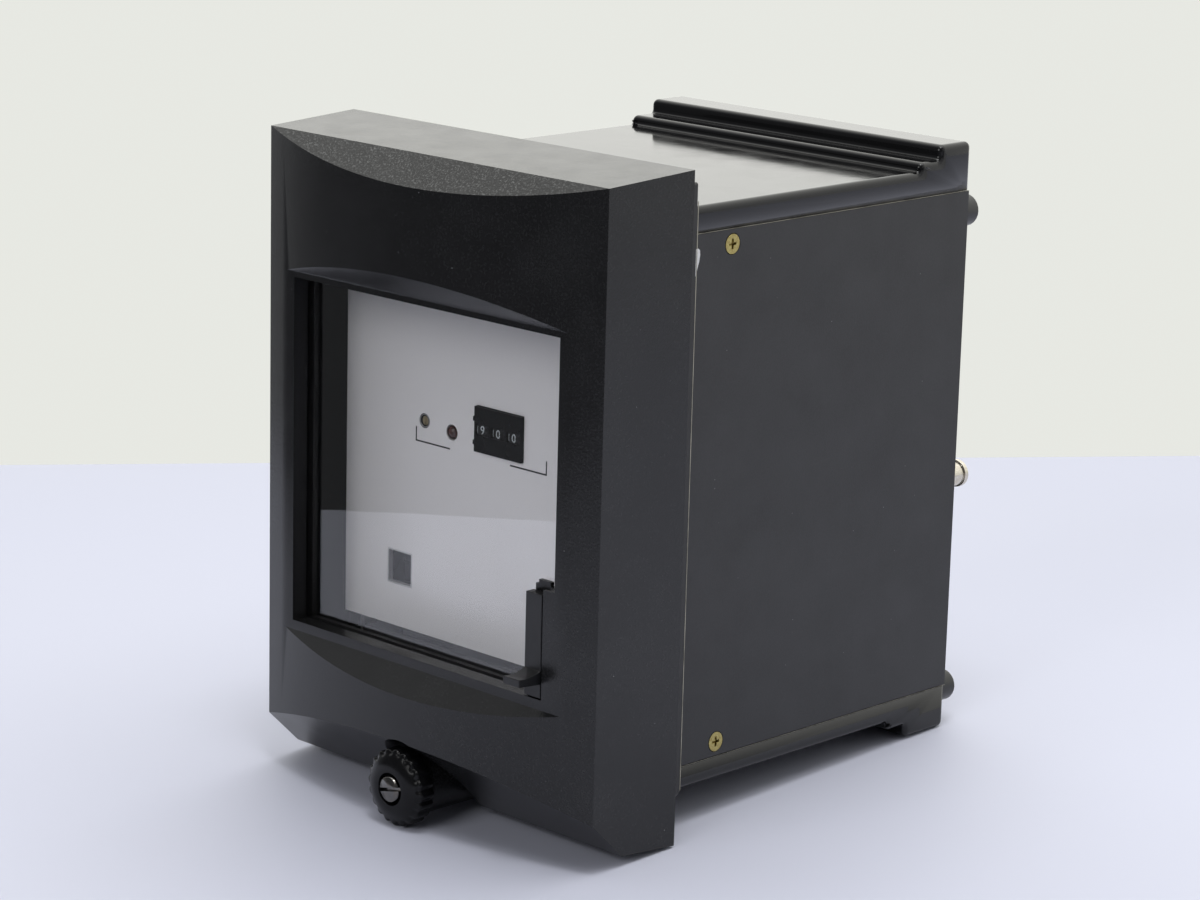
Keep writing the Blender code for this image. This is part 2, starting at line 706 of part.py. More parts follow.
def make_reset_slide(parent):
    """The finger slide: a bar with a tongue in the guide's groove and a tab to lift it by."""
    finish = material("slide_black", (0.02, 0.02, 0.021), 0.45)
    low = WINDOW_SILL + SEAT
    left = SLIDE_RIGHT_X - SLIDE_WIDTH
    place = Vector((SLIDE_RIGHT_X, TONGUE_Y, low))
    half = TONGUE_THICKNESS / 2
    outline = [
        (left, SLIDE_FRONT_Y),
        (SLIDE_RIGHT_X, SLIDE_FRONT_Y),
        (SLIDE_RIGHT_X, TONGUE_Y - half),
        (SLIDE_RIGHT_X + TONGUE_REACH, TONGUE_Y - half),
        (SLIDE_RIGHT_X + TONGUE_REACH, TONGUE_Y + half),
        (SLIDE_RIGHT_X, TONGUE_Y + half),
        (SLIDE_RIGHT_X, SLIDE_REAR_Y),
        (left, SLIDE_REAR_Y),
    ]
    local = [(x - place.x, y - place.y) for x, y in outline]
    bar = piece("reset_slide", prism(local, "Z", 0.0, SLIDE_HEIGHT), finish, parent, place)
    tab_low = TAB_RISE
    front = SLIDE_FRONT_Y - place.y
    tip = front - TAB_LENGTH
    outline = [(front + 0.001, tab_low), (front + 0.001, tab_low + TAB_HEIGHT)]
    dish = 8
    for k in range(dish + 1):
        share = k / dish
        sag = TAB_DROOP * share + 0.0008 * math.sin(math.pi * share)
        outline.append((front - TAB_LENGTH * share, tab_low + TAB_HEIGHT - sag))
    tip_low = tab_low + TAB_HEIGHT - TAB_DROOP - TAB_TIP_HEIGHT
    outline.append((tip, tip_low))
    outline.append((front, tab_low))
    join(bar, prism(outline, "X", left - place.x, 0.0), "tab")
    return bar


def make_thumbscrew(parent):
    """The scalloped knob and the slotted screw that turns with it, both on the knob's axis."""
    black = material("knob_black", (0.016, 0.016, 0.017), 0.35)
    steel = material("screw_steel", (0.62, 0.61, 0.58), 0.3, 1.0)
    place = (0.0, KNOB_RIM_Y, KNOB_AXIS_Z)
    recess = SCREW_HEAD_RADIUS + SCREW_HEAD_RECESS_GAP
    floor = SCREW_HEAD_HEIGHT - KNOB_DOME - SCREW_HEAD_PROUD + SEAT
    dome = []
    dome_steps = 4
    crown = KNOB_RADIUS - 0.0008
    for k in range(dome_steps + 1):
        share = k / dome_steps
        radius = recess + 0.0004 + (crown - recess - 0.0004) * share
        dome.append((-KNOB_DOME * (1.0 - share ** 2) + 0.0002 * share, radius))
    profile = [(floor, KNOB_BORE_RADIUS), (floor, recess), (-KNOB_DOME + 0.0004, recess)]
    profile += dome
    profile += [
        (0.0010, KNOB_RADIUS),
        (KNOB_LENGTH - 0.0008, KNOB_RADIUS),
        (KNOB_LENGTH, KNOB_RADIUS - 0.0008),
        (KNOB_LENGTH, KNOB_BORE_RADIUS),
    ]
    shape = turned(profile, steps=KNOB_LOBE_STEPS * KNOB_LOBES, lobes=KNOB_LOBES, scallop=KNOB_SCALLOP, lobed_from=crown - 0.0001)
    piece("thumbscrew_knob", shape, black, parent, place, smooth=True)
    head_front = -KNOB_DOME - SCREW_HEAD_PROUD
    head_rear = head_front + SCREW_HEAD_HEIGHT
    tip = FLANGE_REAR_Y - 0.001 - KNOB_RIM_Y
    profile = [
        (head_front, 0.0),
        (head_front, SCREW_HEAD_RADIUS - 0.0004),
        (head_front + 0.0004, SCREW_HEAD_RADIUS),
        (head_rear, SCREW_HEAD_RADIUS),
        (head_rear, SCREW_SHANK_RADIUS),
        (tip - 0.001, SCREW_SHANK_RADIUS),
        (tip, SCREW_SHANK_RADIUS - 0.001),
        (tip, 0.0),
    ]
    screw = piece("thumbscrew_screw", turned(profile, steps=28), steel, parent, place, smooth=True)
    half = SCREW_SLOT_WIDTH / 2
    reach = SCREW_HEAD_RADIUS + 0.001
    along = (math.cos(math.radians(SCREW_SLOT_TURN)), math.sin(math.radians(SCREW_SLOT_TURN)))
    corners = ((-reach, -half), (reach, -half), (reach, half), (-reach, half))
    outline = [(u * along[0] - v * along[1], u * along[1] + v * along[0]) for u, v in corners]
    cut(screw, prism(outline, "Y", head_front - 0.001, head_front + SCREW_SLOT_DEPTH), "slot")


def make_flange(parent):
    """The mounting flange: a frame with cut lower corners, panel holes and the thumbscrew's thread."""
    finish = material("flange_black", (0.02, 0.02, 0.02), 0.5)
    side = FLANGE_WIDTH / 2
    cut_off = FLANGE_CORNER_CUT
    outline = [
        (-side, FLANGE_TOP_Z),
        (-side, FLANGE_BOTTOM_Z + cut_off),
        (-side + cut_off, FLANGE_BOTTOM_Z),
        (side - cut_off, FLANGE_BOTTOM_Z),
        (side, FLANGE_BOTTOM_Z + cut_off),
        (side, FLANGE_TOP_Z),
    ]
    flange = piece("mounting_flange", prism(outline, "Y", FLANGE_FRONT_Y, FLANGE_REAR_Y), finish, parent)
    round_edges(flange, FLANGE_EDGE, 1)
    before = FLANGE_FRONT_Y - 0.001
    after = FLANGE_REAR_Y + 0.001
    inner = PANEL_INNER_X
    cut(flange, box((-inner, before, SEAM_BOTTOM_Z), (inner, after, SEAM_TOP_Z)), "opening")
    holes = bmesh.new()
    for x in (-FLANGE_HOLE_X, FLANGE_HOLE_X):
        for z in (FLANGE_BOTTOM_Z + FLANGE_HOLE_INSET, FLANGE_TOP_Z - FLANGE_HOLE_INSET):
            rod(FLANGE_HOLE_RADIUS, before, after, steps=16, centre=(x, z), shape=holes)
    thread = SCREW_SHANK_RADIUS + RUNNING
    rod(thread, before, after, steps=20, centre=(0.0, KNOB_AXIS_Z), shape=holes)
    cut(flange, holes, "holes")
    return flange


def slab_ring(front, front_corner, inset):
    """Plan outline of a cap's slab, set in on its sides and rear, and on a rounded front.

    The rear corners are round. The front corners are round too, or square if their
    radius is zero; a square front isn't set in, because it stands against the flange.
    """
    side = CASE_WIDTH / 2 - inset
    rear = CASE_REAR_Y - inset
    nose = front + inset if front_corner > 0.0 else front
    points = []
    corners = (
        (1, 1, side, rear, CAP_CORNER - inset),
        (-1, 1, side, rear, CAP_CORNER - inset),
        (-1, -1, side, nose, front_corner - inset),
        (1, -1, side, nose, front_corner - inset),
    )
    for x_way, y_way, reach, edge, radius in corners:
        if y_way < 0 and front_corner <= 0.0:
            points.append((x_way * reach, edge))
            continue
        arc = [math.pi / 2 * k / CAP_CORNER_STEPS for k in range(CAP_CORNER_STEPS + 1)]
        if x_way * y_way < 0:
            arc.reverse()
        for turn in arc:
            x = x_way * (reach - radius + radius * math.cos(turn))
            y = edge + y_way * radius * (math.sin(turn) - 1.0)
            points.append((x, y))
    return points


def cap_slab(front, front_corner, low, high, up):
    """A slab of a cap: straight walls, and a rounded edge round its far face."""
    levels = [(low, 0.0)]
    for k in range(CAP_FILLET_STEPS + 1):
        turn = math.pi / 2 * k / CAP_FILLET_STEPS
        levels.append((high - up * CAP_FILLET * (1.0 - math.sin(turn)), CAP_FILLET * (1.0 - math.cos(turn))))
    shape = bmesh.new()
    rings = []
    for z, inset in levels:
        rings.append([shape.verts.new((x, y, z)) for x, y in slab_ring(front, front_corner, inset)])
    for first, second in zip(rings, rings[1:]):
        bridge(shape, first, second)
    shape.faces.new(rings[0])
    shape.faces.new(rings[-1])
    return shape


def make_cap(name, parent, seam, height, ribs, up):
    """A case cap, top (up = 1) or bottom (up = -1): a shallow lid that steps up over its ribs.

    Each rib is (its front edge's y, its rise over what is before it). The lid is hollow
    and has two lugs for the side panels' screws.
    """
    finish = material(name + "_black", (0.012, 0.012, 0.013), 0.12)
    side = CASE_WIDTH / 2
    base = seam + up * SEAT / 2
    level = seam + up * height
    cap = piece(name, cap_slab(CASE_FRONT_Y, 0.0, base, level, up), finish, parent, smooth=True)
    for number, (front, rise) in enumerate(ribs, 1):
        root = level - up * 2 * CAP_FILLET
        level += up * rise
        join(cap, cap_slab(front, RIB_CORNER, root, level, up), "rib_%d" % number)
    inner_side = side - CAP_WALL
    roof = seam + up * (height - CAP_WALL)
    open_side = seam - up * 0.002
    low = (-inner_side, CASE_FRONT_Y + CAP_WALL, min(roof, open_side))
    high = (inner_side, CASE_REAR_Y - CAP_WALL, max(roof, open_side))
    cut(cap, box(low, high), "hollow")
    lugs = bmesh.new()
    for sign in (-1, 1):
        outer_x = sign * (PANEL_INNER_X - SEAT)
        inner_x = outer_x - sign * LUG_WIDTH
        tip = seam - up * LUG_DROP
        root = roof + up * CAP_WALL / 2
        front = PANEL_SCREW_Y - LUG_LENGTH / 2
        low = (min(outer_x, inner_x), front, min(tip, root))
        high = (max(outer_x, inner_x), front + LUG_LENGTH, max(tip, root))
        box(low, high, lugs)
    join(cap, lugs, "lugs")
    shank = PANEL_SCREW_SHANK_RADIUS + SEAT
    screw_z = seam - up * PANEL_SCREW_INSET
    cut(cap, rod(shank, -side, side, "X", 16, (PANEL_SCREW_Y, screw_z)), "screw_holes")
    return cap


def make_side_panel(name, parent, sign):
    """A flat side panel with two countersunk holes."""
    finish = material(name + "_paint", (0.03, 0.03, 0.031), 0.5, 0.2)
    outer = sign * CASE_WIDTH / 2
    inner = sign * PANEL_INNER_X
    low = (min(outer, inner), CASE_FRONT_Y, SEAM_BOTTOM_Z + SEAT / 2)
    high = (max(outer, inner), CASE_REAR_Y, SEAM_TOP_Z - SEAT / 2)
    panel = piece(name, box(low, high), finish, parent)
    round_edges(panel, PANEL_EDGE, 1)
    holes = bmesh.new()
    profile = [
        (sign * 0.001, 0.0),
        (sign * 0.001, PANEL_SCREW_HEAD_RADIUS + SEAT),
        (0.0, PANEL_SCREW_HEAD_RADIUS + SEAT),
        (-sign * (PANEL_SCREW_HEAD_HEIGHT + SEAT), PANEL_SCREW_SHANK_RADIUS + SEAT),
        (-sign * (PANEL_THICKNESS + 0.001), PANEL_SCREW_SHANK_RADIUS + SEAT),
        (-sign * (PANEL_THICKNESS + 0.001), 0.0),
    ]
    for z in (SEAM_TOP_Z - PANEL_SCREW_INSET, SEAM_BOTTOM_Z + PANEL_SCREW_INSET):
        start = len(holes.verts)
        turned(profile, "X", 24, shape=holes)
        holes.verts.ensure_lookup_table()
        bmesh.ops.translate(holes, vec=(outer, PANEL_SCREW_Y, z), verts=holes.verts[start:])
    bmesh.ops.recalc_face_normals(holes, faces=holes.faces)
    cut(panel, holes, "screw_holes")
    return panel


def make_panel_screws(parent):
    """Four countersunk cross-recess screws, two in each side panel."""
    finish = material("yellow_zinc", (0.62, 0.47, 0.2), 0.35, 1.0)
    number = 0
    for sign in (-1, 1):
        for z in (SEAM_TOP_Z - PANEL_SCREW_INSET, SEAM_BOTTOM_Z + PANEL_SCREW_INSET):
            number += 1
            profile = [
                (0.0, 0.0),
                (0.0, PANEL_SCREW_HEAD_RADIUS),
                (-sign * PANEL_SCREW_HEAD_HEIGHT, PANEL_SCREW_SHANK_RADIUS),
                (-sign * PANEL_SCREW_LENGTH, PANEL_SCREW_SHANK_RADIUS),
                (-sign * PANEL_SCREW_LENGTH, 0.0),
            ]
            place = (sign * CASE_WIDTH / 2, PANEL_SCREW_Y, z)
            name = "side_screw_%d" % number
            screw = piece(name, turned(profile, "X", 24), finish, parent, place, smooth=True)
            cut(screw, cross_recess(sign), "cross")


def cross_recess(sign):
    """The cross-shaped driver recess of a panel screw."""
    half = CROSS_WIDTH / 2
    span = CROSS_SPAN / 2
    outline = [
        (-half, -span), (half, -span), (half, -half), (span, -half), (span, half), (half, half),
        (half, span), (-half, span), (-half, half), (-span, half), (-span, -half), (-half, -half),
    ]
    return prism(outline, "X", min(-sign * CROSS_DEPTH, sign * 0.001), max(-sign * CROSS_DEPTH, sign * 0.001))


def terminal_spots():
    """Places of the terminal screws on the rear strips, as (x, z)."""
    spots = []
    for x in (-STRIP_X, STRIP_X):
        for row in range(TERMINAL_ROWS):
            spots.append((x, STRIP_BOTTOM_Z + TERMINAL_PITCH * (row + 0.5)))
    return spots


def make_rear_panel(parent):
    """The moulded rear panel with two raised terminal strips."""
    finish = material("rear_moulding", (0.02, 0.02, 0.02), 0.5)
    rear = CASE_REAR_Y
    front = rear - REAR_PANEL_THICKNESS
    side = PANEL_INNER_X - SEAT
    low = (-side, front, SEAM_BOTTOM_Z + SEAT)
    high = (side, rear, SEAM_TOP_Z - SEAT)
    panel = piece("rear_panel", box(low, high), finish, parent)
    top = STRIP_BOTTOM_Z + TERMINAL_PITCH * TERMINAL_ROWS
    strips = bmesh.new()
    for x in (-STRIP_X, STRIP_X):
        half = STRIP_WIDTH / 2
        box((x - half, front, STRIP_BOTTOM_Z), (x + half, rear + STRIP_PROUD, top), strips)
    join(panel, strips, "strips")
    round_edges(panel, STRIP_EDGE, 1)
    holes = bmesh.new()
    for spot in terminal_spots():
        deep = rear + STRIP_PROUD - TERMINAL_SHANK_LENGTH - SEAT
        rod(TERMINAL_SHANK_RADIUS + SEAT, deep, rear + STRIP_PROUD + 0.001, steps=12, centre=spot, shape=holes)
    cut(panel, holes, "holes")
    return panel


def make_terminal_screws(parent):
    """Ten slotted terminal screws, each with its washer in one turned piece."""
    finish = material("terminal_nickel", (0.66, 0.64, 0.58), 0.3, 1.0)
    seat = CASE_REAR_Y + STRIP_PROUD + SEAT
    top = TERMINAL_WASHER_HEIGHT + TERMINAL_HEAD_HEIGHT
    profile = [
        (-TERMINAL_SHANK_LENGTH, 0.0),
        (-TERMINAL_SHANK_LENGTH, TERMINAL_SHANK_RADIUS),
        (0.0, TERMINAL_SHANK_RADIUS),
        (0.0, TERMINAL_WASHER_RADIUS),
        (TERMINAL_WASHER_HEIGHT, TERMINAL_WASHER_RADIUS),
        (TERMINAL_WASHER_HEIGHT, TERMINAL_HEAD_RADIUS),
        (top - 0.0008, TERMINAL_HEAD_RADIUS),
        (top, TERMINAL_HEAD_RADIUS - 0.0012),
        (top, 0.0),
    ]
    half = SCREW_SLOT_WIDTH / 2
    reach = TERMINAL_HEAD_RADIUS + 0.001
    for number, (x, z) in enumerate(terminal_spots(), 1):
        name = "terminal_screw_%02d" % number
        screw = piece(name, turned(profile, steps=16), finish, parent, (x, seat, z), smooth=True)
        slot = box((-reach, top - SCREW_SLOT_DEPTH, -half), (reach, top + 0.001, half))
        cut(screw, slot, "slot")


def make_rear_posts(parent):
    """Four black round posts at the rear corners."""
    finish = material("post_black", (0.015, 0.015, 0.015), 0.4)
    profile = [
        (0.0, 0.0),
        (0.0, POST_RADIUS),
        (POST_LENGTH - POST_ROUND, POST_RADIUS),
        (POST_LENGTH - POST_ROUND * 0.3, POST_RADIUS - POST_ROUND * 0.3),
        (POST_LENGTH, POST_RADIUS - POST_ROUND),
        (POST_LENGTH, 0.0),
    ]
    mesh = to_mesh("rear_post", turned(profile, steps=24))
    number = 0
    for x in (-POST_X, POST_X):
        for z in (POST_TOP_Z, POST_BOTTOM_Z):
            number += 1
            piece("rear_post_%d" % number, mesh, finish, parent, (x, CASE_REAR_Y + SEAT, z), smooth=True)


def make_rear_studs(parent):
    """Two plated studs at mid height, with a lip at the end."""
    finish = material("stud_nickel", (0.7, 0.67, 0.6), 0.25, 1.0)
    profile = [
        (0.0, 0.0),
        (0.0, STUD_RADIUS),
        (STUD_LENGTH - STUD_LIP, STUD_RADIUS),
        (STUD_LENGTH - STUD_LIP, STUD_LIP_RADIUS),
        (STUD_LENGTH - 0.0004, STUD_LIP_RADIUS),
        (STUD_LENGTH, STUD_LIP_RADIUS - 0.0004),
        (STUD_LENGTH, 0.0),
    ]
    mesh = to_mesh("rear_stud", turned(profile, steps=24))
    for number, x in enumerate((-POST_X, POST_X), 1):
        piece("rear_stud_%d" % number, mesh, finish, parent, (x, CASE_REAR_Y + SEAT, STUD_Z), smooth=True)


def make_guide_rail(name, parent, sign):
    """A grooved rail on the inside of a side panel, for the cradle's runner."""
    finish = material(name + "_nylon", (0.55, 0.54, 0.5), 0.45)
    outer = PANEL_INNER_X - SEAT
    inner = CRADLE_WIDTH / 2 + RUNNING
    groove = outer - RAIL_FLOOR
    half = RAIL_HEIGHT / 2
    slot = RUNNER_THICKNESS / 2 + RUNNING
    outline = [
        (outer, -half), (outer, half), (inner, half), (inner, slot),
        (groove, slot), (groove, -slot), (inner, -slot), (inner, -half),
    ]
    outline = [(sign * x, RUNNER_Z + z) for x, z in outline]
    return piece(name, prism(outline, "Y", RAIL_FRONT_Y, RAIL_REAR_Y), finish, parent)


def make_cradle(parent):
    """The chassis: one folded sheet, two side walls and a rear wall, with lips and runners."""
    finish = material("cradle_zinc", (0.6, 0.6, 0.58), 0.4, 0.9)
    wall = CRADLE_WIDTH / 2
    inner = CRADLE_INNER_X
    lip = wall + CRADLE_FRONT_LIP
    front = CRADLE_FRONT_Y
    rear = CRADLE_REAR_Y
    sheet = CRADLE_SHEET
    outline = [
        (-lip, front), (-inner, front), (-inner, rear - sheet), (inner, rear - sheet), (inner, front), (lip, front),
        (lip, front + sheet), (wall, front + sheet), (wall, rear), (-wall, rear), (-wall, front + sheet),
        (-lip, front + sheet),
    ]
    cradle = piece("cradle", prism(outline, "Z", CRADLE_BOTTOM_Z, CRADLE_TOP_Z), finish, parent)
    trims = bmesh.new()
    for sign in (-1, 1):
        near = sign * (wall + SEAT)
        far = sign * (lip + 0.002)
        for low, high in ((CRADLE_BOTTOM_Z - 0.002, CRADLE_LIP_BOTTOM_Z), (CRADLE_LIP_TOP_Z, CRADLE_TOP_Z + 0.002)):
            box((min(near, far), front - 0.002, low), (max(near, far), front + sheet + 0.002, high), trims)
    cut(cradle, trims, "lip_trims")
    runners = bmesh.new()
    for sign in (-1, 1):
        near = sign * (wall - sheet / 2)
        far = sign * (wall + RUNNER_REACH)
        half = RUNNER_THICKNESS / 2
        low = (min(near, far), RUNNER_FRONT_Y, RUNNER_Z - half)
        high = (max(near, far), rear - 0.002, RUNNER_Z + half)
        box(low, high, runners)
    join(cradle, runners, "runners")
    return cradle


def make_front_plate(parent):
    """The front plate, pierced for the dial switch, adjuster, lamp and target."""
    finish = material("plate_silver", (0.55, 0.55, 0.56), 0.4, 0.3)
    side = PLATE_WIDTH / 2
    rear = PLATE_FRONT_Y + PLATE_THICKNESS
    plate = piece("front_plate", box((-side, PLATE_FRONT_Y, PLATE_BOTTOM_Z), (side, rear, PLATE_TOP_Z)), finish, parent)
    holes = bmesh.new()
    before = PLATE_FRONT_Y - 0.001
    after = rear + 0.001
    half_x = DIAL_COUNT * DIAL_PITCH / 2 + SEAT
    half_z = DIAL_HEIGHT / 2 + SEAT
    box((DIAL_X - half_x, before, DIAL_Z - half_z), (DIAL_X + half_x, after, DIAL_Z + half_z), holes)
    half = TARGET_OPENING / 2
    box((TARGET_X - half, before, TARGET_Z - half), (TARGET_X + half, after, TARGET_Z + half), holes)
    rod(POT_HOLE_RADIUS, before, after, centre=(POT_X, POT_Z), steps=24, shape=holes)
    rod(LAMP_RADIUS + SEAT, before, after, centre=(LAMP_X, LAMP_Z), steps=24, shape=holes)
    cut(plate, holes, "holes")
    return plate


def dial_centres():
    """Middle planes of the number wheels."""
    return [DIAL_X + DIAL_PITCH * (k - (DIAL_COUNT - 1) / 2) for k in range(DIAL_COUNT)]


WHEEL_TIP = WHEEL_RADIUS + WHEEL_TOOTH
WHEEL_Y = PLATE_FRONT_Y - DIAL_PROUD + WHEEL_TIP - WHEEL_PROUD


def make_dial_switch(parent):
    """The dial switch housing: a block with one open bay for each number wheel."""
    finish = material("dial_black", (0.02, 0.02, 0.02), 0.4)
    front = PLATE_FRONT_Y - DIAL_PROUD
    half_x = DIAL_COUNT * DIAL_PITCH / 2
    half_z = DIAL_HEIGHT / 2
    low = (DIAL_X - half_x, front, DIAL_Z - half_z)
    high = (DIAL_X + half_x, front + DIAL_DEPTH, DIAL_Z + half_z)
    housing = piece("dial_housing", box(low, high), finish, parent)
    bays = bmesh.new()
    bay_half = DIAL_PITCH / 2 - DIAL_WALL / 2
    bay_rear = WHEEL_Y + WHEEL_TIP + RUNNING
    bay_z = WHEEL_TIP + RUNNING
    for x in dial_centres():
        opening = bay_z - DIAL_LIP
        outline = [
            (front - 0.001, DIAL_Z - opening), (front - 0.001, DIAL_Z + opening),
            (front + DIAL_LIP_THICKNESS, DIAL_Z + opening), (front + DIAL_LIP_THICKNESS, DIAL_Z + bay_z),
            (bay_rear, DIAL_Z + bay_z), (bay_rear, DIAL_Z - bay_z),
            (front + DIAL_LIP_THICKNESS, DIAL_Z - bay_z), (front + DIAL_LIP_THICKNESS, DIAL_Z - opening),
        ]
        prism(outline, "X", x - bay_half, x + bay_half, bays)
    cut(housing, bays, "bays")
    hole = WHEEL_SHAFT_RADIUS + SEAT
    reach = half_x - DIAL_WALL / 2
    bore = rod(hole, DIAL_X - reach, DIAL_X + reach, "X", 16, (WHEEL_Y, DIAL_Z))
    cut(housing, bore, "shaft_bore")
    steel = material("shaft_steel", (0.6, 0.6, 0.6), 0.3, 1.0)
    length = reach - SEAT
    piece("dial_shaft", rod(WHEEL_SHAFT_RADIUS, -length, length, "X", 16), steel, parent, (DIAL_X, WHEEL_Y, DIAL_Z), True)


def make_dial_wheel(number, x, parent):
    """A number wheel: a smooth drum with a toothed rim on one side and a bore."""
    finish = material("wheel_%d_black" % number, (0.03, 0.03, 0.032), 0.4)
    half = DIAL_PITCH / 2 - DIAL_WALL / 2 - RUNNING
    split = half - 2 * half * WHEEL_TOOTHED_SHARE
    bore = WHEEL_SHAFT_RADIUS + RUNNING
    profile = [
        (-half, bore),
        (-half, WHEEL_RADIUS - 0.0002),
        (-half + 0.0002, WHEEL_RADIUS),
        (split, WHEEL_RADIUS),
        (split, WHEEL_TIP),
        (half, WHEEL_TIP),
        (half, bore),
    ]
    shape = turned(profile, "X", 2 * WHEEL_TEETH, WHEEL_TEETH, WHEEL_TOOTH, WHEEL_TIP)
    piece("dial_wheel_%d" % number, shape, finish, parent, (x, WHEEL_Y, DIAL_Z), smooth=True)


def make_pickup(parent):
    """The pickup potentiometer behind the plate and its slotted adjuster."""
    blue = material("pot_blue", (0.05, 0.12, 0.3), 0.4)
    brass = material("adjuster_brass", (0.7, 0.56, 0.3), 0.3, 1.0)
    rear = PLATE_FRONT_Y + PLATE_THICKNESS + SEAT
    bore = ADJUSTER_RADIUS + RUNNING
    depth = POT_BODY_LENGTH - 0.002
    profile = [
        (depth, 0.0), (depth, bore), (0.0, bore), (0.0, POT_BODY_RADIUS),
        (POT_BODY_LENGTH, POT_BODY_RADIUS), (POT_BODY_LENGTH, 0.0),
    ]
    piece("pickup_pot", turned(profile, steps=24), blue, parent, (POT_X, rear, POT_Z), smooth=True)
    front = ADJUSTER_SETBACK - PLATE_THICKNESS - SEAT
    end = depth - SEAT
    profile = [
        (front, 0.0), (front, ADJUSTER_RADIUS - 0.0002), (front + 0.0002, ADJUSTER_RADIUS),
        (end, ADJUSTER_RADIUS), (end, 0.0),
    ]
    place = (POT_X, rear, POT_Z)
    adjuster = piece("pickup_adjuster", turned(profile, steps=20), brass, parent, place, smooth=True)
    half = ADJUSTER_SLOT / 2
    reach = ADJUSTER_RADIUS + 0.001
    cut(adjuster, box((-half, front - 0.001, -reach), (half, front + 0.0008, reach)), "slot")


def make_lamp(parent):
    """The indicator lamp: a domed lens with a flange behind the plate."""
    finish = material("lamp_red", (0.1, 0.015, 0.012), 0.2)
    rear = PLATE_FRONT_Y + PLATE_THICKNESS + SEAT
    front = PLATE_FRONT_Y - LAMP_PROUD - rear
    dome = []
    steps = 4
    for k in range(steps + 1):
        angle = math.pi / 2 * k / steps
        dome.append((front + LAMP_RADIUS * 0.7 * (1 - math.cos(angle)), LAMP_RADIUS * math.sin(angle)))
    profile = dome + [
        (0.0, LAMP_RADIUS), (0.0, LAMP_RADIUS + LAMP_FLANGE), (0.001, LAMP_RADIUS + LAMP_FLANGE),
        (0.001, LAMP_RADIUS), (LAMP_LENGTH, LAMP_RADIUS), (LAMP_LENGTH, 0.0),
    ]
    piece("indicator_lamp", turned(profile, steps=16), finish, parent, (LAMP_X, rear, LAMP_Z), smooth=True)


def make_target(parent):
    """The target: an open-fronted housing and a flag that flips on its pins."""
    black = material("target_black", (0.02, 0.02, 0.02), 0.5)
    dark = material("flag_black", (0.025, 0.025, 0.027), 0.35)
    rear = PLATE_FRONT_Y + PLATE_THICKNESS + SEAT
    half = TARGET_OPENING / 2
    outer = half + TARGET_WALL
    low = (TARGET_X - outer, rear, TARGET_Z - outer)
    high = (TARGET_X + outer, rear + TARGET_DEPTH, TARGET_Z + outer)
    housing = piece("target_housing", box(low, high), black, parent)
    low = (TARGET_X - half, rear - 0.001, TARGET_Z - half)
    high = (TARGET_X + half, rear + TARGET_DEPTH - TARGET_WALL, TARGET_Z + half)
    cut(housing, box(low, high), "chamber")
    axis_y = rear + half
    reach = half + FLAG_PIN_REACH
    pin_hole = rod(FLAG_PIN_RADIUS + SEAT, TARGET_X - reach, TARGET_X + reach, "X", 12, (axis_y, TARGET_Z))
    cut(housing, pin_hole, "pin_holes")
    leaf = half - RUNNING
    thin = FLAG_THICKNESS / 2
    flag = piece(
        "target_flag", box((-leaf, -thin, -leaf), (leaf, thin, leaf)), dark, parent, (TARGET_X, axis_y, TARGET_Z)
    )
    pin_reach = reach - SEAT
    join(flag, rod(FLAG_PIN_RADIUS, -pin_reach, pin_reach, "X", 12), "pins")


def contact_places():
    """Middle lines of the contact blades."""
    return [CONTACT_PITCH * (k - (CONTACT_COUNT - 1) / 2) for k in range(CONTACT_COUNT)]


def blade_row(low_y, high_y, z, grow, shape):
    """A row of flat blades, or of the slots that take them."""
    half_x = BLADE_WIDTH / 2 + grow
    half_z = BLADE_THICKNESS / 2 + grow
    for x in contact_places():
        box((x - half_x, low_y, z - half_z), (x + half_x, high_y, z + half_z), shape)
    return shape


CASE_ROW_Z = (PLUG_BOTTOM_Z + CASE_BLOCK_TOP_Z) / 2
CHASSIS_ROW_Z = (CHASSIS_BLOCK_BOTTOM_Z + PLUG_TOP_Z) / 2


def make_case_block(parent):
    """The case's contact block, standing on the bottom cap and reaching out through the flange."""
    finish = material("case_block_phenolic", (0.03, 0.02, 0.016), 0.5)
    foot = SEAM_BOTTOM_Z - BOTTOM_CAP_HEIGHT + CAP_WALL + SEAT
    step_y = CASE_FRONT_Y + CAP_WALL + RUNNING
    outline = [
        (BLOCK_FRONT_Y, CASE_BLOCK_STEP_Z), (step_y, CASE_BLOCK_STEP_Z), (step_y, foot),
        (CASE_BLOCK_REAR_Y, foot), (CASE_BLOCK_REAR_Y, CASE_BLOCK_TOP_Z), (BLOCK_FRONT_Y, CASE_BLOCK_TOP_Z),
    ]
    half = BLOCK_WIDTH / 2
    block = piece("case_contact_block", prism(outline, "X", -half, half), finish, parent)
    deep = BLOCK_FRONT_Y + BLADE_LENGTH + 0.001
    cut(block, blade_row(BLOCK_FRONT_Y - 0.001, deep, CASE_ROW_Z, SEAT, bmesh.new()), "slots")


def make_chassis_block(parent):
    """The chassis contact block between the cradle's side walls."""
    finish = material("chassis_block_phenolic", (0.03, 0.02, 0.016), 0.5)
    half = CRADLE_INNER_X - SEAT
    low = (-half, BLOCK_FRONT_Y, CHASSIS_BLOCK_BOTTOM_Z)
    high = (half, CHASSIS_BLOCK_REAR_Y, CHASSIS_BLOCK_BOTTOM_Z + CHASSIS_BLOCK_HEIGHT)
    block = piece("chassis_contact_block", box(low, high), finish, parent)
    deep = BLOCK_FRONT_Y + BLADE_LENGTH + 0.001
    cut(block, blade_row(BLOCK_FRONT_Y - 0.001, deep, CHASSIS_ROW_Z, SEAT, bmesh.new()), "slots")


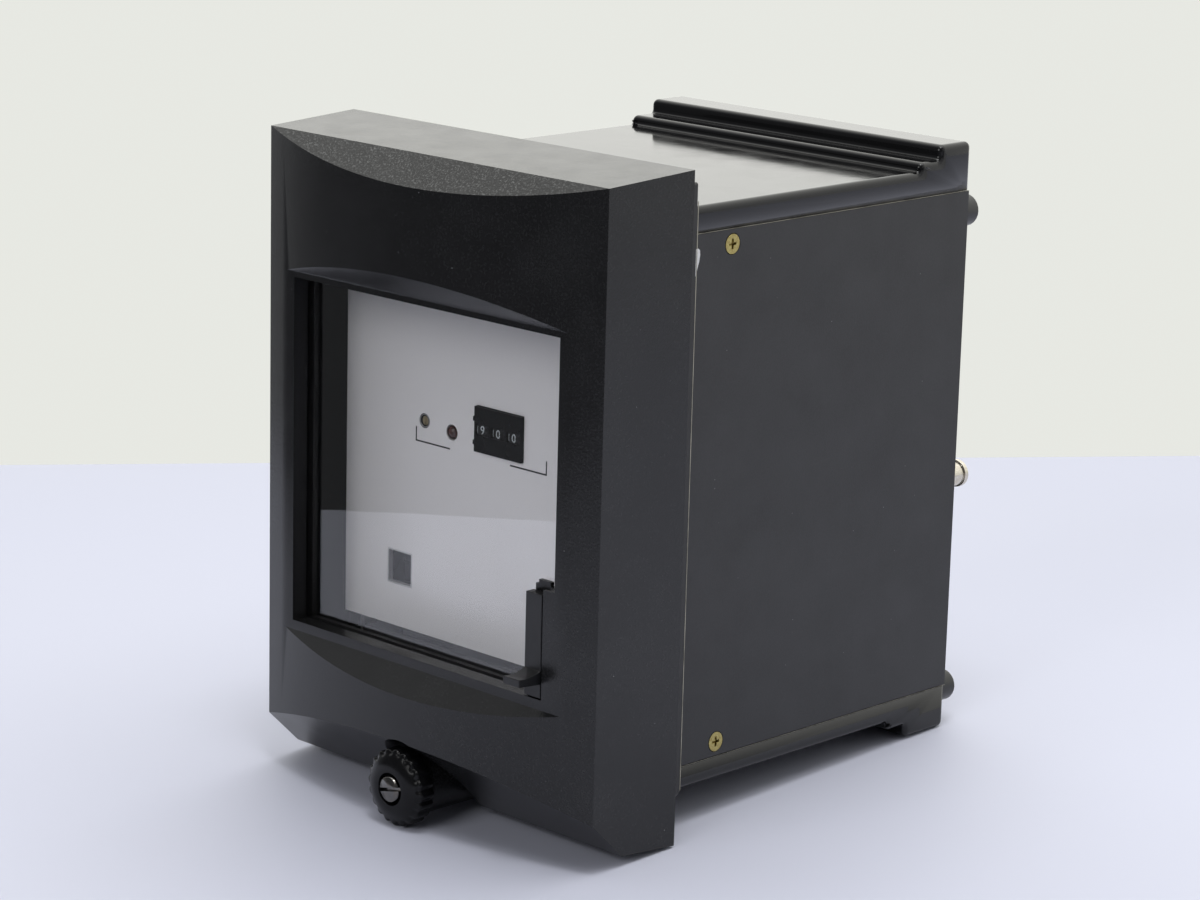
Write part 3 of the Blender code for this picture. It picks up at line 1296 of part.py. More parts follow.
def make_connection_plug(parent):
    """The connection plug: a grip bar with two rows of blades that bridge the blocks."""
    finish = material("plug_black", (0.02, 0.02, 0.02), 0.45)
    rear = BLOCK_FRONT_Y - SEAT
    half = BLOCK_WIDTH / 2
    place = (0.0, PLUG_FRONT_Y, (PLUG_BOTTOM_Z + PLUG_TOP_Z) / 2)
    half_z = (PLUG_TOP_Z - PLUG_BOTTOM_Z) / 2
    depth = rear - PLUG_FRONT_Y
    plug = piece("connection_plug", box((-half, 0.0, -half_z), (half, depth, half_z)), finish, parent, place)
    round_edges(plug, PLUG_EDGE, 1)
    grips = bmesh.new()
    for sign in (-1, 1):
        x = sign * half / 2
        inner = half_z - PLUG_GRIP_DEPTH
        for low, high in ((inner, half_z + 0.001), (-half_z - 0.001, -inner)):
            box((x - PLUG_GRIP_WIDTH / 2, 0.002, low), (x + PLUG_GRIP_WIDTH / 2, depth - 0.003, high), grips)
    cut(plug, grips, "grips")
    blades = bmesh.new()
    for row in (CASE_ROW_Z, CHASSIS_ROW_Z):
        blade_row(depth - 0.001, depth + BLADE_LENGTH, row - place[2], 0.0, blades)
    join(plug, blades, "blades")


def board_shape(sign):
    """A circuit board beside a cradle wall, on four round standoffs."""
    outer = CRADLE_INNER_X - SEAT - BOARD_STANDOFF
    inner = outer - BOARD_THICKNESS
    low = (min(sign * outer, sign * inner), BOARD_FRONT_Y, BOARD_BOTTOM_Z)
    high = (max(sign * outer, sign * inner), BOARD_REAR_Y, BOARD_TOP_Z)
    return box(low, high), outer


def board_standoffs(sign, outer):
    """The standoffs of a board, reaching to the cradle's wall."""
    shape = bmesh.new()
    wall = CRADLE_INNER_X - SEAT
    near = sign * (outer - BOARD_THICKNESS / 2)
    far = sign * wall
    for y in (BOARD_FRONT_Y + BOARD_HOLE_INSET, BOARD_REAR_Y - BOARD_HOLE_INSET):
        for z in (BOARD_BOTTOM_Z + BOARD_HOLE_INSET, BOARD_TOP_Z - BOARD_HOLE_INSET):
            rod(BOARD_STANDOFF_RADIUS, min(near, far), max(near, far), "X", 12, (y, z), shape)
    return shape


def make_boards(parent):
    """The logic board with its chips, and the power board with relays and capacitors."""
    green = material("board_green", (0.03, 0.14, 0.06), 0.4)
    plain = material("power_board_green", (0.04, 0.16, 0.07), 0.4)
    shape, outer = board_shape(1)
    logic = piece("logic_board", shape, green, parent)
    join(logic, board_standoffs(1, outer), "standoffs")
    face = outer - BOARD_THICKNESS
    middle_y = (BOARD_FRONT_Y + BOARD_REAR_Y) / 2
    middle_z = (BOARD_BOTTOM_Z + BOARD_TOP_Z) / 2
    chips = bmesh.new()
    for row in range(CHIP_ROWS):
        for column in range(CHIP_COLUMNS):
            y = middle_y + CHIP_PITCH_Y * (column - (CHIP_COLUMNS - 1) / 2)
            z = middle_z + CHIP_PITCH_Z * (row - (CHIP_ROWS - 1) / 2)
            low = (face - CHIP_HEIGHT, y - CHIP_LENGTH / 2, z - CHIP_WIDTH / 2)
            high = (face + BOARD_THICKNESS / 2, y + CHIP_LENGTH / 2, z + CHIP_WIDTH / 2)
            box(low, high, chips)
    join(logic, chips, "chips")
    shape, outer = board_shape(-1)
    power = piece("power_board", shape, plain, parent)
    join(power, board_standoffs(-1, outer), "standoffs")
    face = -(outer - BOARD_THICKNESS) + SEAT
    relay_black = material("relay_black", (0.025, 0.025, 0.028), 0.3)
    height, length, width = RELAY_SIZE
    for number, z in enumerate(RELAY_Z, 1):
        low = (0.0, -length / 2, -width / 2)
        high = (height, length / 2, width / 2)
        relay = piece("output_relay_%d" % number, box(low, high), relay_black, parent, (face, RELAY_Y, z))
        round_edges(relay, RELAY_EDGE, 1)
    can = material("capacitor_sleeve", (0.03, 0.06, 0.16), 0.35)
    bead = CAPACITOR_BEAD
    low = CAPACITOR_BEAD_LOW
    profile = [
        (0.0, 0.0), (0.0, CAPACITOR_RADIUS), (low, CAPACITOR_RADIUS), (low + bead, CAPACITOR_RADIUS - bead),
        (low + bead * 2, CAPACITOR_RADIUS), (CAPACITOR_HEIGHT - bead, CAPACITOR_RADIUS),
        (CAPACITOR_HEIGHT, CAPACITOR_RADIUS - bead), (CAPACITOR_HEIGHT, 0.0),
    ]
    mesh = to_mesh("capacitor", turned(profile, "X", 24))
    for number, z in enumerate(CAPACITOR_Z, 1):
        piece("capacitor_%d" % number, mesh, can, parent, (face, CAPACITOR_Y, z), smooth=True)


def make_transformer(parent):
    """The transformer on the cradle's rear wall: a laminated core and its winding."""
    iron = material("core_iron", (0.25, 0.24, 0.23), 0.5, 0.8)
    tape = material("winding_tape", (0.55, 0.42, 0.1), 0.5)
    rear = CRADLE_REAR_Y - CRADLE_SHEET - SEAT
    front = rear - CORE_DEPTH
    half_x = CORE_WIDTH / 2
    half_z = CORE_HEIGHT / 2
    core = piece("transformer_core", box((-half_x, 0.0, -half_z), (half_x, CORE_DEPTH, half_z)), iron, parent,
                 (0.0, front, CORE_Z))
    gaps = bmesh.new()
    leg = CORE_LEG
    for sign in (-1, 1):
        near = sign * leg
        far = sign * (half_x - leg)
        low = (min(near, far), -0.001, -half_z + leg)
        high = (max(near, far), CORE_DEPTH + 0.001, half_z - leg)
        box(low, high, gaps)
    cut(core, gaps, "windows")
    outer_x = half_x - leg - WINDING_GAP
    outer_z = half_z - leg - WINDING_GAP
    inner_x = leg + WINDING_GAP
    low = (-outer_x, -WINDING_OVERHANG, -outer_z)
    high = (outer_x, CORE_DEPTH - WINDING_GAP, outer_z)
    winding = piece("transformer_winding", box(low, high), tape, parent, (0.0, front, CORE_Z))
    slot = box((-inner_x, -WINDING_GAP, -outer_z - 0.001), (inner_x, CORE_DEPTH + 0.001, outer_z + 0.001))
    cut(winding, slot, "core_slot")


def main():
    """Builds the relay."""
    clear_scene()
    middle = (FRONT_Y + REAR_Y) / 2
    frame = empty("relay_frame", None, (0.0, -middle, FLOOR_LIFT))
    case = empty("case_carrier", frame)
    chassis = empty("chassis_carrier", frame)
    front = empty("cover_carrier", frame)
    make_flange(case)
    make_cap("case_top_cap", case, SEAM_TOP_Z, TOP_CAP_HEIGHT, TOP_RIBS, 1)
    make_cap("case_bottom_cap", case, SEAM_BOTTOM_Z, BOTTOM_CAP_HEIGHT, BOTTOM_RIBS, -1)
    make_side_panel("case_side_left", case, -1)
    make_side_panel("case_side_right", case, 1)
    make_panel_screws(case)
    make_rear_panel(case)
    make_terminal_screws(case)
    make_rear_posts(case)
    make_rear_studs(case)
    make_guide_rail("guide_rail_left", case, -1)
    make_guide_rail("guide_rail_right", case, 1)
    make_case_block(case)
    make_cradle(chassis)
    make_front_plate(chassis)
    make_dial_switch(chassis)
    for number, x in enumerate(dial_centres(), 1):
        make_dial_wheel(number, x, chassis)
    make_pickup(chassis)
    make_lamp(chassis)
    make_target(chassis)
    make_chassis_block(chassis)
    make_connection_plug(chassis)
    make_boards(chassis)
    make_transformer(chassis)
    make_cover(front)
    make_pane(front)
    make_pane_retainer(front)
    make_reset_slide(front)
    make_thumbscrew(front)


if __name__ == "__main__":
    main()
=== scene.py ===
"""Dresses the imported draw-out protection relay: finishes, print, fittings, floor and light."""
import json
import logging
import math
from collections.abc import Iterable, Sequence
from dataclasses import dataclass, replace
from enum import Enum
from functools import cache

import bmesh
import bpy
import numpy as np
from mathutils import Matrix

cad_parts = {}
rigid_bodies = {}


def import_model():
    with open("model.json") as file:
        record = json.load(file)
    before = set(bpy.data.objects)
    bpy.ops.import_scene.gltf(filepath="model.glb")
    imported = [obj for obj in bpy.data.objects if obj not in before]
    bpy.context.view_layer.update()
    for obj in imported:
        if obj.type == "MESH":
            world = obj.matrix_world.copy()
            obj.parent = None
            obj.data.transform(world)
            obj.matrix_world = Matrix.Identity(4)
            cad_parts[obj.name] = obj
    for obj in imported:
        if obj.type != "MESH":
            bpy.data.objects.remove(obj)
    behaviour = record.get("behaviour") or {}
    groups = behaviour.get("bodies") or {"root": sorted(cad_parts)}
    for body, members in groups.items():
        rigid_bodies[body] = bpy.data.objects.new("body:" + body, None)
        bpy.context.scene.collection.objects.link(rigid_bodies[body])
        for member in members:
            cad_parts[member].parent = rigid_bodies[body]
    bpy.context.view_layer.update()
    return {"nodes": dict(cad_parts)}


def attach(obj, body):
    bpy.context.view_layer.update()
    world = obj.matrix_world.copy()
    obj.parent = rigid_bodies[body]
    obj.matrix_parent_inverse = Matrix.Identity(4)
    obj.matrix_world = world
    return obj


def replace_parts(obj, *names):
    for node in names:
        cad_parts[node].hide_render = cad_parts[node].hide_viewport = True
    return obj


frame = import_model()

MM = 0.001
# The drawing's own zero: the middle plane, the cover's front corners and its rear bottom edge.
DATUM = np.array([0.0, -0.0984, 0.0026])

log = logging.getLogger("relay")

Colour = tuple[float, float, float]
Point = tuple[float, float, float]
Pair = tuple[float, float]
# Points, and faces as rows of point numbers.
Shape = tuple[np.ndarray, Iterable[Sequence[int]]]
# The low and the high side of boxes along one axis, each one number or one for each box.
Sides = tuple[float | np.ndarray, float | np.ndarray]


class Axis(Enum):
    """The model's axes, by index."""

    X = 0
    Y = 1
    Z = 2


class Body(Enum):
    """The moving bodies of the relay."""

    CASE = "case"
    CHASSIS = "chassis"
    COVER = "front_cover"
    SLIDE = "slide"
    THUMBSCREW = "thumbscrew"
    PLUG = "plug"
    ADJUSTER = "adjuster"
    FLAG = "flag"
    DIAL_1 = "dial_first"
    DIAL_2 = "dial_second"
    DIAL_3 = "dial_third"


# Meshes worked out with numpy


def placed(points: np.ndarray) -> np.ndarray:
    """Points in millimetres from the drawing's zero, as metres in the model's frame.

    Args:
        points: Points in millimetres, three to a row.

    Returns:
        The same points in metres.
    """
    return np.asarray(points, float) * MM + DATUM


def build(name: str, shape: Shape, smooth: float = 35.0) -> bpy.types.Object:
    """Makes a mesh object from points and faces.

    Args:
        name: The object's name.
        shape: Points in metres, in the model's frame, and faces.
        smooth: Edges that turn by more degrees than this stay sharp.

    Returns:
        The object, linked to the scene at the origin.
    """
    points, faces = shape
    mesh = bpy.data.meshes.new(name)
    mesh.from_pydata(np.asarray(points, float).tolist(), [], [list(map(int, face)) for face in faces])
    mesh.validate()
    mesh.polygons.foreach_set("use_smooth", np.ones(len(mesh.polygons), bool))
    mesh.set_sharp_from_angle(angle=math.radians(smooth))
    made = bpy.data.objects.new(name, mesh)
    bpy.context.scene.collection.objects.link(made)
    return made


def ring_faces(rings: int, around: int, closed: bool = False) -> np.ndarray:
    """Quads between rings of points: point j of ring i is joined to its neighbours in i and i + 1.

    Args:
        rings: Number of rings.
        around: Points in each ring.
        closed: True if the last ring joins the first.

    Returns:
        Rows of four point numbers.
    """
    i = np.arange(rings if closed else rings - 1)[:, None]
    j = np.arange(around)[None, :]
    here, there = i * around, ((i + 1) % rings) * around
    after = (j + 1) % around
    return np.stack([here + j, here + after, there + after, there + j], axis=-1).reshape(-1, 4)


def ends(rings: int, around: int) -> list[list[int]]:
    """The first and the last ring of points as two flat faces."""
    last = (rings - 1) * around
    return [list(range(around))[::-1], list(range(last, last + around))]


def turned(
    profile: Sequence[Pair], axis: Axis, centre: Point, steps: int = 32, hollow: bool = False
) -> Shape:
    """A profile carried round an axis: at angle t its point (a, r) stands a along the axis and r out from it.

    Args:
        profile: (along, radius) in millimetres.
        axis: The axis of the turn.
        centre: The profile's zero, in millimetres from the drawing's zero.
        steps: Points in a full turn.
        hollow: True for a ring, whose profile closes on itself; else flat discs close the two ends.

    Returns:
        Points in metres and faces.
    """
    along, radius = np.asarray(profile, float).T
    t = np.linspace(0.0, 2 * math.pi, steps, endpoint=False)
    points = np.zeros((len(along), steps, 3))
    first, second = [k for k in range(3) if k != axis.value]
    points[..., axis.value] = along[:, None]
    points[..., first] = radius[:, None] * np.cos(t)
    points[..., second] = radius[:, None] * np.sin(t)
    faces = ring_faces(len(along), steps, hollow).tolist()
    if not hollow:
        faces += ends(len(along), steps)
    return placed(points.reshape(-1, 3) + np.asarray(centre)), faces


def tube(path: np.ndarray, radius: float, around: int = 8) -> Shape:
    """A circle carried along a path, square to it at each point, with its two ends closed.

    Args:
        path: Points in millimetres from the drawing's zero.
        radius: Radius in millimetres.
        around: Points in the circle.

    Returns:
        Points in metres and faces.
    """
    ahead = np.gradient(path, axis=0)
    ahead /= np.linalg.norm(ahead, axis=1, keepdims=True)
    across = np.cross(ahead, np.array([0.31, 0.42, 0.85]))
    across /= np.linalg.norm(across, axis=1, keepdims=True)
    upward = np.cross(ahead, across)
    t = np.linspace(0.0, 2 * math.pi, around, endpoint=False)
    points = path[:, None] + radius * (
        np.cos(t)[None, :, None] * across[:, None] + np.sin(t)[None, :, None] * upward[:, None]
    )
    faces = ring_faces(len(path), around).tolist() + ends(len(path), around)
    return placed(points.reshape(-1, 3)), faces


def curve_through(points: Sequence[Point], count: int = 24) -> np.ndarray:
    """A smooth path through given points.

    Between each pair of points b and c runs a cubic in t from 0 to 1, whose slope at a point is
    half the step from the point before it to the point after it.

    Args:
        points: Points in millimetres.
        count: Points of the path.

    Returns:
        The path's points in millimetres.
    """
    knots = np.asarray(points, float)
    padded = np.vstack([2 * knots[0] - knots[1], knots, 2 * knots[-1] - knots[-2]])
    where = np.linspace(0.0, len(knots) - 1 - 1e-9, count)
    index = where.astype(int)
    t = (where - index)[:, None]
    a, b, c, d = (padded[index + k] for k in range(4))
    return 0.5 * (2 * b + (c - a) * t + (2 * a - 5 * b + 4 * c - d) * t**2 + (3 * b - a - 3 * c + d) * t**3)


def boxes(x: Sides, y: Sides, z: Sides) -> Shape:
    """One or many boxes: corner k of each takes the low or the high side of an axis by the bits of k.

    Args:
        x: Left and right sides in millimetres.
        y: Front and rear sides.
        z: Lower and upper sides.

    Returns:
        Points in metres and faces.
    """
    given = np.broadcast_arrays(*(np.atleast_1d(side) for side in (*x, *y, *z)))
    sides = np.stack(given, axis=-1).astype(float)
    bits = (np.arange(8)[:, None] >> np.arange(3)[None, :]) & 1
    points = np.where(bits[None], sides[:, None, 1::2], sides[:, None, 0::2])
    corner = np.array([[0, 2, 3, 1], [4, 5, 7, 6], [0, 1, 5, 4], [2, 6, 7, 3], [0, 4, 6, 2], [1, 3, 7, 5]])
    faces = (np.arange(len(sides))[:, None, None] * 8 + corner[None]).reshape(-1, 4)
    return placed(points.reshape(-1, 3)), faces


def gathered(parts: Iterable[Shape]) -> Shape:
    """Several meshes as one set of points and faces.

    Args:
        parts: Pairs of points and faces.

    Returns:
        Points and faces of them all.
    """
    points, faces, start = [], [], 0
    for part_points, part_faces in parts:
        points.append(part_points)
        faces.extend([start + int(k) for k in face] for face in part_faces)
        start += len(part_points)
    return np.vstack(points), faces


def glyph(text: str, height: float, depth: float) -> Shape:
    """A number as a thin solid, centred on its own middle.

    Args:
        text: The digits.
        height: Height of a digit in millimetres.
        depth: Thickness in millimetres.

    Returns:
        Points as (across, up, out) in millimetres, and faces.
    """
    curve = bpy.data.curves.new("glyph", "FONT")
    curve.body = text
    curve.size = 1.0
    curve.extrude = 0.5
    curve.resolution_u = 3
    holder = bpy.data.objects.new("glyph", curve)
    bpy.context.scene.collection.objects.link(holder)
    mesh = bpy.data.meshes.new_from_object(holder)
    points = np.zeros(len(mesh.vertices) * 3)
    mesh.vertices.foreach_get("co", points)
    points = points.reshape(-1, 3)
    faces = [list(face.vertices) for face in mesh.polygons]
    bpy.data.objects.remove(holder)
    low, high = points.min(0), points.max(0)
    points -= (low + high) / 2
    points[:, :2] *= height / (high[1] - low[1])
    points[:, 2] *= depth / (high[2] - low[2])
    return points, faces


# Finishes


class Nodes:
    """A node tree, with short calls for what the finishes and the world need."""

    def __init__(self, tree: bpy.types.NodeTree) -> None:
        """Works on a tree."""
        self.tree = tree

    def node(
        self, kind: str, inputs: dict[str | int, object] | None = None, **settings: object
    ) -> bpy.types.Node:
        """Adds a node.

        Args:
            kind: Its type.
            inputs: What its inputs are fed, by name or number.
            settings: Its properties.

        Returns:
            The node.
        """
        made = self.tree.nodes.new(kind)
        for key, value in settings.items():
            setattr(made, key, value)
        for key, value in (inputs or {}).items():
            self.feed(made.inputs[key], value)
        return made

    def feed(self, socket: bpy.types.NodeSocket, value: object) -> None:
        """Links a socket, or sets its value.

        Args:
            socket: The input.
            value: Another node's output, or a number, a vector or a colour.
        """
        if isinstance(value, bpy.types.NodeSocket):
            self.tree.links.new(value, socket)
        elif isinstance(value, tuple) and len(value) == 3 and socket.type == "RGBA":
            socket.default_value = (*value, 1.0)
        else:
            socket.default_value = value

    def span(
        self, value: object, low: float, high: float, start: float = 0.0, end: float = 1.0, **how: str
    ) -> bpy.types.NodeSocket:
        """A value's stretch from low to high, carried over to the stretch from start to end."""
        inputs = {"Value": value, "From Min": low, "From Max": high, "To Min": start, "To Max": end}
        return self.node("ShaderNodeMapRange", inputs, **how).outputs["Result"]

    def work(self, how: str, first: object, second: object = 0.0) -> bpy.types.NodeSocket:
        """A sum, product or the like of two values."""
        return self.node("ShaderNodeMath", {0: first, 1: second}, operation=how).outputs["Value"]

    def blend(self, share: object, first: object, second: object) -> bpy.types.NodeSocket:
        """A blend of two colours."""
        inputs = {"Factor": share, "A": first, "B": second}
        return self.node("ShaderNodeMix", inputs, data_type="RGBA").outputs["Result"]


class Graph(Nodes):
    """A material's nodes. Patterns stand in the piece's own space, and their sizes are in millimetres."""

    def __init__(self, name: str) -> None:
        """Starts a material.

        Args:
            name: Its name.
        """
        self.material = bpy.data.materials.new(name)
        self.material.use_nodes = True
        super().__init__(self.material.node_tree)
        self.shader = self.tree.nodes["Principled BSDF"]
        self.origin = self.node("ShaderNodeTexCoord").outputs["Object"]
        self.space = self.scaled((1.0, 1.0, 1.0))

    def scaled(
        self, stretch: Point, turn: Point = (0.0, 0.0, 0.0), shift: Point = (0.0, 0.0, 0.0)
    ) -> bpy.types.NodeSocket:
        """The piece's own space in millimetres, stretched, turned and shifted, in that order.

        Args:
            stretch: Factor along each axis.
            turn: Angle about each axis in radians.
            shift: What is added in the end.

        Returns:
            The coordinates.
        """
        scale = tuple(value / MM for value in stretch)
        inputs = {"Vector": self.origin, "Scale": scale, "Rotation": turn, "Location": shift}
        return self.node("ShaderNodeMapping", inputs).outputs["Vector"]

    def noise(
        self, size: float, detail: float = 2.0, space: bpy.types.NodeSocket | None = None
    ) -> bpy.types.NodeSocket:
        """Soft noise with features of a given size."""
        inputs = {"Vector": space or self.space, "Scale": 1.0 / size, "Detail": detail, "Roughness": 0.55}
        return self.node("ShaderNodeTexNoise", inputs).outputs["Fac"]

    def cells(self, size: float, spread: float = 1.0) -> bpy.types.NodeSocket:
        """Distance from the nearest of scattered points."""
        inputs = {"Vector": self.space, "Scale": 1.0 / size, "Randomness": spread}
        return self.node("ShaderNodeTexVoronoi", inputs).outputs["Distance"]

    def along(self, axis: Axis) -> bpy.types.NodeSocket:
        """One coordinate of the piece's own space."""
        return self.node("ShaderNodeSeparateXYZ", {"Vector": self.space}).outputs[axis.name]

    def relief(self, height: object, depth: float, under: object = None) -> bpy.types.NodeSocket:
        """A bump, over another if there is one.

        Args:
            height: The pattern.
            depth: What a step of 1 in it measures, in millimetres.
            under: The other bump.

        Returns:
            The normal.
        """
        inputs = {"Height": height, "Distance": depth * MM, "Strength": 1.0}
        if under is not None:
            inputs["Normal"] = under
        return self.node("ShaderNodeBump", inputs).outputs["Normal"]

    def shaded(
        self, colour: object, rough: object, normal: object, others: dict[str, float] | None = None
    ) -> bpy.types.Material:
        """Feeds the shader.

        Args:
            colour: Base colour.
            rough: Roughness.
            normal: Normal.
            others: Other inputs, by name.

        Returns:
            The material.
        """
        inputs = {"Base Color": colour, "Roughness": rough, "Normal": normal, **(others or {})}
        for key, value in inputs.items():
            self.feed(self.shader.inputs[key], value)
        return self.material


def tinted(colour: Colour, factor: float) -> Colour:
    """A colour made lighter or darker."""
    return tuple(min(1.0, max(0.0, value * factor)) for value in colour)


@dataclass(frozen=True)
class Moulding:
    """Moulded or coated plastic, with mottled colour, a fine grain, dust, handling marks and, where set,
    painted glints on the grain.
    """

    name: str
    colour: Colour
    roughness: float
    mottle: float = 0.3
    mottle_size: float = 18.0
    grain_size: float = 0.5
    grain_depth: float = 0.02
    wave_depth: float = 0.0
    drift: float = 0.1
    dust: float = 0.1
    scratch: float = 0.1
    specular: float = 0.5
    coat: float = 0.0
    sparkle: float = 0.0

    @cache
    def material(self) -> bpy.types.Material:
        """Builds the material.

        Returns:
            The material.
        """
        graph = Graph(self.name)
        mottle = graph.noise(self.mottle_size, 3.0)
        low, high = tinted(self.colour, 1.0 - self.mottle), tinted(self.colour, 1.0 + self.mottle)
        colour = graph.blend(graph.span(mottle, 0.3, 0.7), low, high)
        grain = graph.noise(self.grain_size, 2.0)
        colour = graph.blend(graph.span(grain, 0.35, 0.75, 0.0, 0.35), colour, tinted(self.colour, 1.8))
        specks = graph.span(graph.cells(6.5), 0.034, 0.018)
        patches = graph.span(graph.noise(15.0, 2.0), 0.45, 0.6)
        flecks = graph.work("MULTIPLY", graph.work("MULTIPLY", specks, patches), self.dust * 3.0)
        haze = graph.span(graph.noise(32.0, 4.0), 0.45, 0.75, 0.0, self.dust * 0.06)
        dusty = graph.work("ADD", flecks, haze)
        colour = graph.blend(dusty, colour, (0.4, 0.41, 0.42))
        streaks = graph.noise(0.35, 1.0, graph.scaled((1.0, 0.03, 0.35), (0.3, 0.5, 0.2)))
        marks = graph.span(streaks, 0.68, 0.76, 0.0, self.scratch)
        colour = graph.blend(marks, colour, tinted(self.colour, 3.2))
        low, high = self.roughness - self.drift / 2, self.roughness + self.drift / 2
        rough = graph.span(graph.noise(14.0, 3.0), 0.3, 0.7, low, high)
        rough = graph.work("ADD", rough, graph.work("MULTIPLY", haze, 0.5))
        # Painted highlight: specks of the grain lightened in colour, and made smoother, to stand for tiny
        # glints.
        if self.sparkle:
            painted_glints = graph.span(graph.noise(self.grain_size, 3.0), 0.53, 0.66)
            colour = graph.blend(graph.work("MULTIPLY", painted_glints, self.sparkle), colour, (0.2, 0.205, 0.2))
            rough = graph.work("ADD", rough, graph.work("MULTIPLY", painted_glints, -0.25 * self.sparkle))
        normal = graph.relief(grain, self.grain_depth)
        if self.wave_depth:
            normal = graph.relief(graph.noise(5.0, 1.0), self.wave_depth, normal)
        others = {"Specular IOR Level": self.specular, "Coat Weight": self.coat, "Coat Roughness": 0.04}
        return graph.shaded(colour, rough, normal, others)


@dataclass(frozen=True)
class Plated:
    """Bare or plated metal, with a tool's fine lines, tarnish and spots.

    A crown (x, z, radius) makes a flat head that faces along y shade as if it were ground to
    that radius in millimetres about the line through x and z.
    """

    name: str
    colour: Colour
    tarnish: Colour
    roughness: float
    lines: Point = (1.0, 1.0, 1.0)
    line_size: float = 0.3
    line_depth: float = 0.004
    tarnish_size: float = 3.0
    tarnish_share: float = 0.5
    metallic: float = 1.0
    vary: float = 1.0
    crown: Point | None = None

    @cache
    def material(self) -> bpy.types.Material:
        """Builds the material.

        Returns:
            The material.
        """
        graph = Graph(self.name)
        lines = graph.noise(self.line_size, 3.0, graph.scaled(self.lines))
        stain = graph.span(graph.noise(self.tarnish_size, 4.0), 0.42, 0.68, 0.0, self.tarnish_share)
        low, high = tinted(self.colour, 1.0 - 0.1 * self.vary), tinted(self.colour, 1.0 + 0.08 * self.vary)
        colour = graph.blend(graph.span(lines, 0.3, 0.7), low, high)
        colour = graph.blend(stain, colour, self.tarnish)
        swing = 0.2 * self.vary
        rough = graph.span(lines, 0.3, 0.7, self.roughness * (1.0 - swing), self.roughness * (1.0 + swing))
        rough = graph.work("ADD", rough, graph.work("MULTIPLY", stain, 0.18))
        normal = graph.relief(lines, self.line_depth)
        if self.crown:
            flat = graph.scaled((1.0, 0.0, 1.0), shift=(-self.crown[0], 0.0, -self.crown[1]))
            out = graph.node("ShaderNodeVectorMath", {"Vector": flat}, operation="LENGTH").outputs["Value"]
            normal = graph.relief(graph.work("POWER", out, 2.0), -0.5 / self.crown[2], normal)
        return graph.shaded(colour, rough, normal, {"Metallic": self.metallic})


@dataclass(frozen=True)
class Circuit:
    """A circuit board: green resist over straight copper runs, with tinned pads."""

    name: str
    resist: Colour = (0.012, 0.085, 0.03)
    copper: Colour = (0.03, 0.19, 0.06)
    pad: Colour = (0.62, 0.62, 0.6)
    pitch: float = 2.54

    @cache
    def material(self) -> bpy.types.Material:
        """Builds the material.

        Returns:
            The material.
        """
        graph = Graph(self.name)
        wander = graph.noise(11.0, 1.0, graph.scaled((1.0, 0.35, 1.0)))
        steps = graph.work("FLOOR", graph.work("MULTIPLY", wander, 9.0))
        bent = graph.work("ADD", graph.along(Axis.Z), graph.work("MULTIPLY", steps, self.pitch / 2))
        runs = graph.work("PINGPONG", bent, self.pitch / 2)
        run = graph.span(runs, 0.35, 0.5, 1.0, 0.0)
        gate = graph.span(graph.noise(7.0, 1.0), 0.46, 0.5)
        track = graph.work("MULTIPLY", run, gate)
        pads = graph.span(graph.cells(self.pitch, 0.0), 0.24, 0.2)
        shown = graph.work("MULTIPLY", pads, graph.span(graph.noise(6.0, 1.0), 0.55, 0.58))
        colour = graph.blend(track, self.resist, self.copper)
        colour = graph.blend(shown, colour, self.pad)
        rough = graph.span(graph.noise(2.0, 2.0), 0.3, 0.7, 0.25, 0.42)
        return graph.shaded(colour, rough, graph.relief(graph.work("MAXIMUM", track, shown), 0.04))


@dataclass(frozen=True)
class Layered:
    """Thin layers seen edge on, such as stamped core sheets or wound tape."""

    name: str
    colour: Colour
    edge: Colour
    pitch: float
    across: Axis
    roughness: float
    metallic: float

    @cache
    def material(self) -> bpy.types.Material:
        """Builds the material.

        Returns:
            The material.
        """
        graph = Graph(self.name)
        wander = graph.work("MULTIPLY", graph.noise(12.0, 1.0), 0.25)
        fold = graph.work("PINGPONG", graph.work("ADD", graph.along(self.across), wander), self.pitch / 2)
        line = graph.span(fold, 0.0, self.pitch * 0.2, 1.0, 0.0)
        colour = graph.blend(graph.noise(6.0, 3.0), tinted(self.colour, 0.8), tinted(self.colour, 1.15))
        colour = graph.blend(line, colour, self.edge)
        rough = graph.span(graph.noise(3.0, 2.0), 0.3, 0.7, self.roughness, self.roughness + 0.15)
        return graph.shaded(colour, rough, graph.relief(line, -0.05), {"Metallic": self.metallic})


@dataclass(frozen=True)
class ClearPane:
    """Clear sheet that lets the lamps through, with faint dust and wiping marks."""

    name: str
    tint: Colour = (0.99, 0.992, 0.995)
    index: float = 1.49

    @cache
    def material(self) -> bpy.types.Material:
        """Builds the material.

        Returns:
            The material.
        """
        graph = Graph(self.name)
        wipes = graph.noise(4.0, 3.0, graph.scaled((0.25, 1.0, 1.0), (0.0, 0.5, 0.0)))
        clear = graph.node("ShaderNodeBsdfTransparent", {"Color": self.tint}).outputs["BSDF"]
        shadow = graph.node("ShaderNodeLightPath").outputs["Is Shadow Ray"]
        mix = graph.node("ShaderNodeMixShader", {0: shadow, 1: graph.shader.outputs["BSDF"], 2: clear})
        graph.feed(graph.tree.nodes["Material Output"].inputs["Surface"], mix.outputs["Shader"])
        colour = graph.blend(wipes, tinted(self.tint, 0.985), self.tint)
        rough = graph.span(wipes, 0.45, 0.75, 0.0, 0.03)
        others = {"Transmission Weight": 1.0, "IOR": self.index}
        return graph.shaded(colour, rough, graph.relief(graph.noise(30.0, 1.0), 0.01), others)


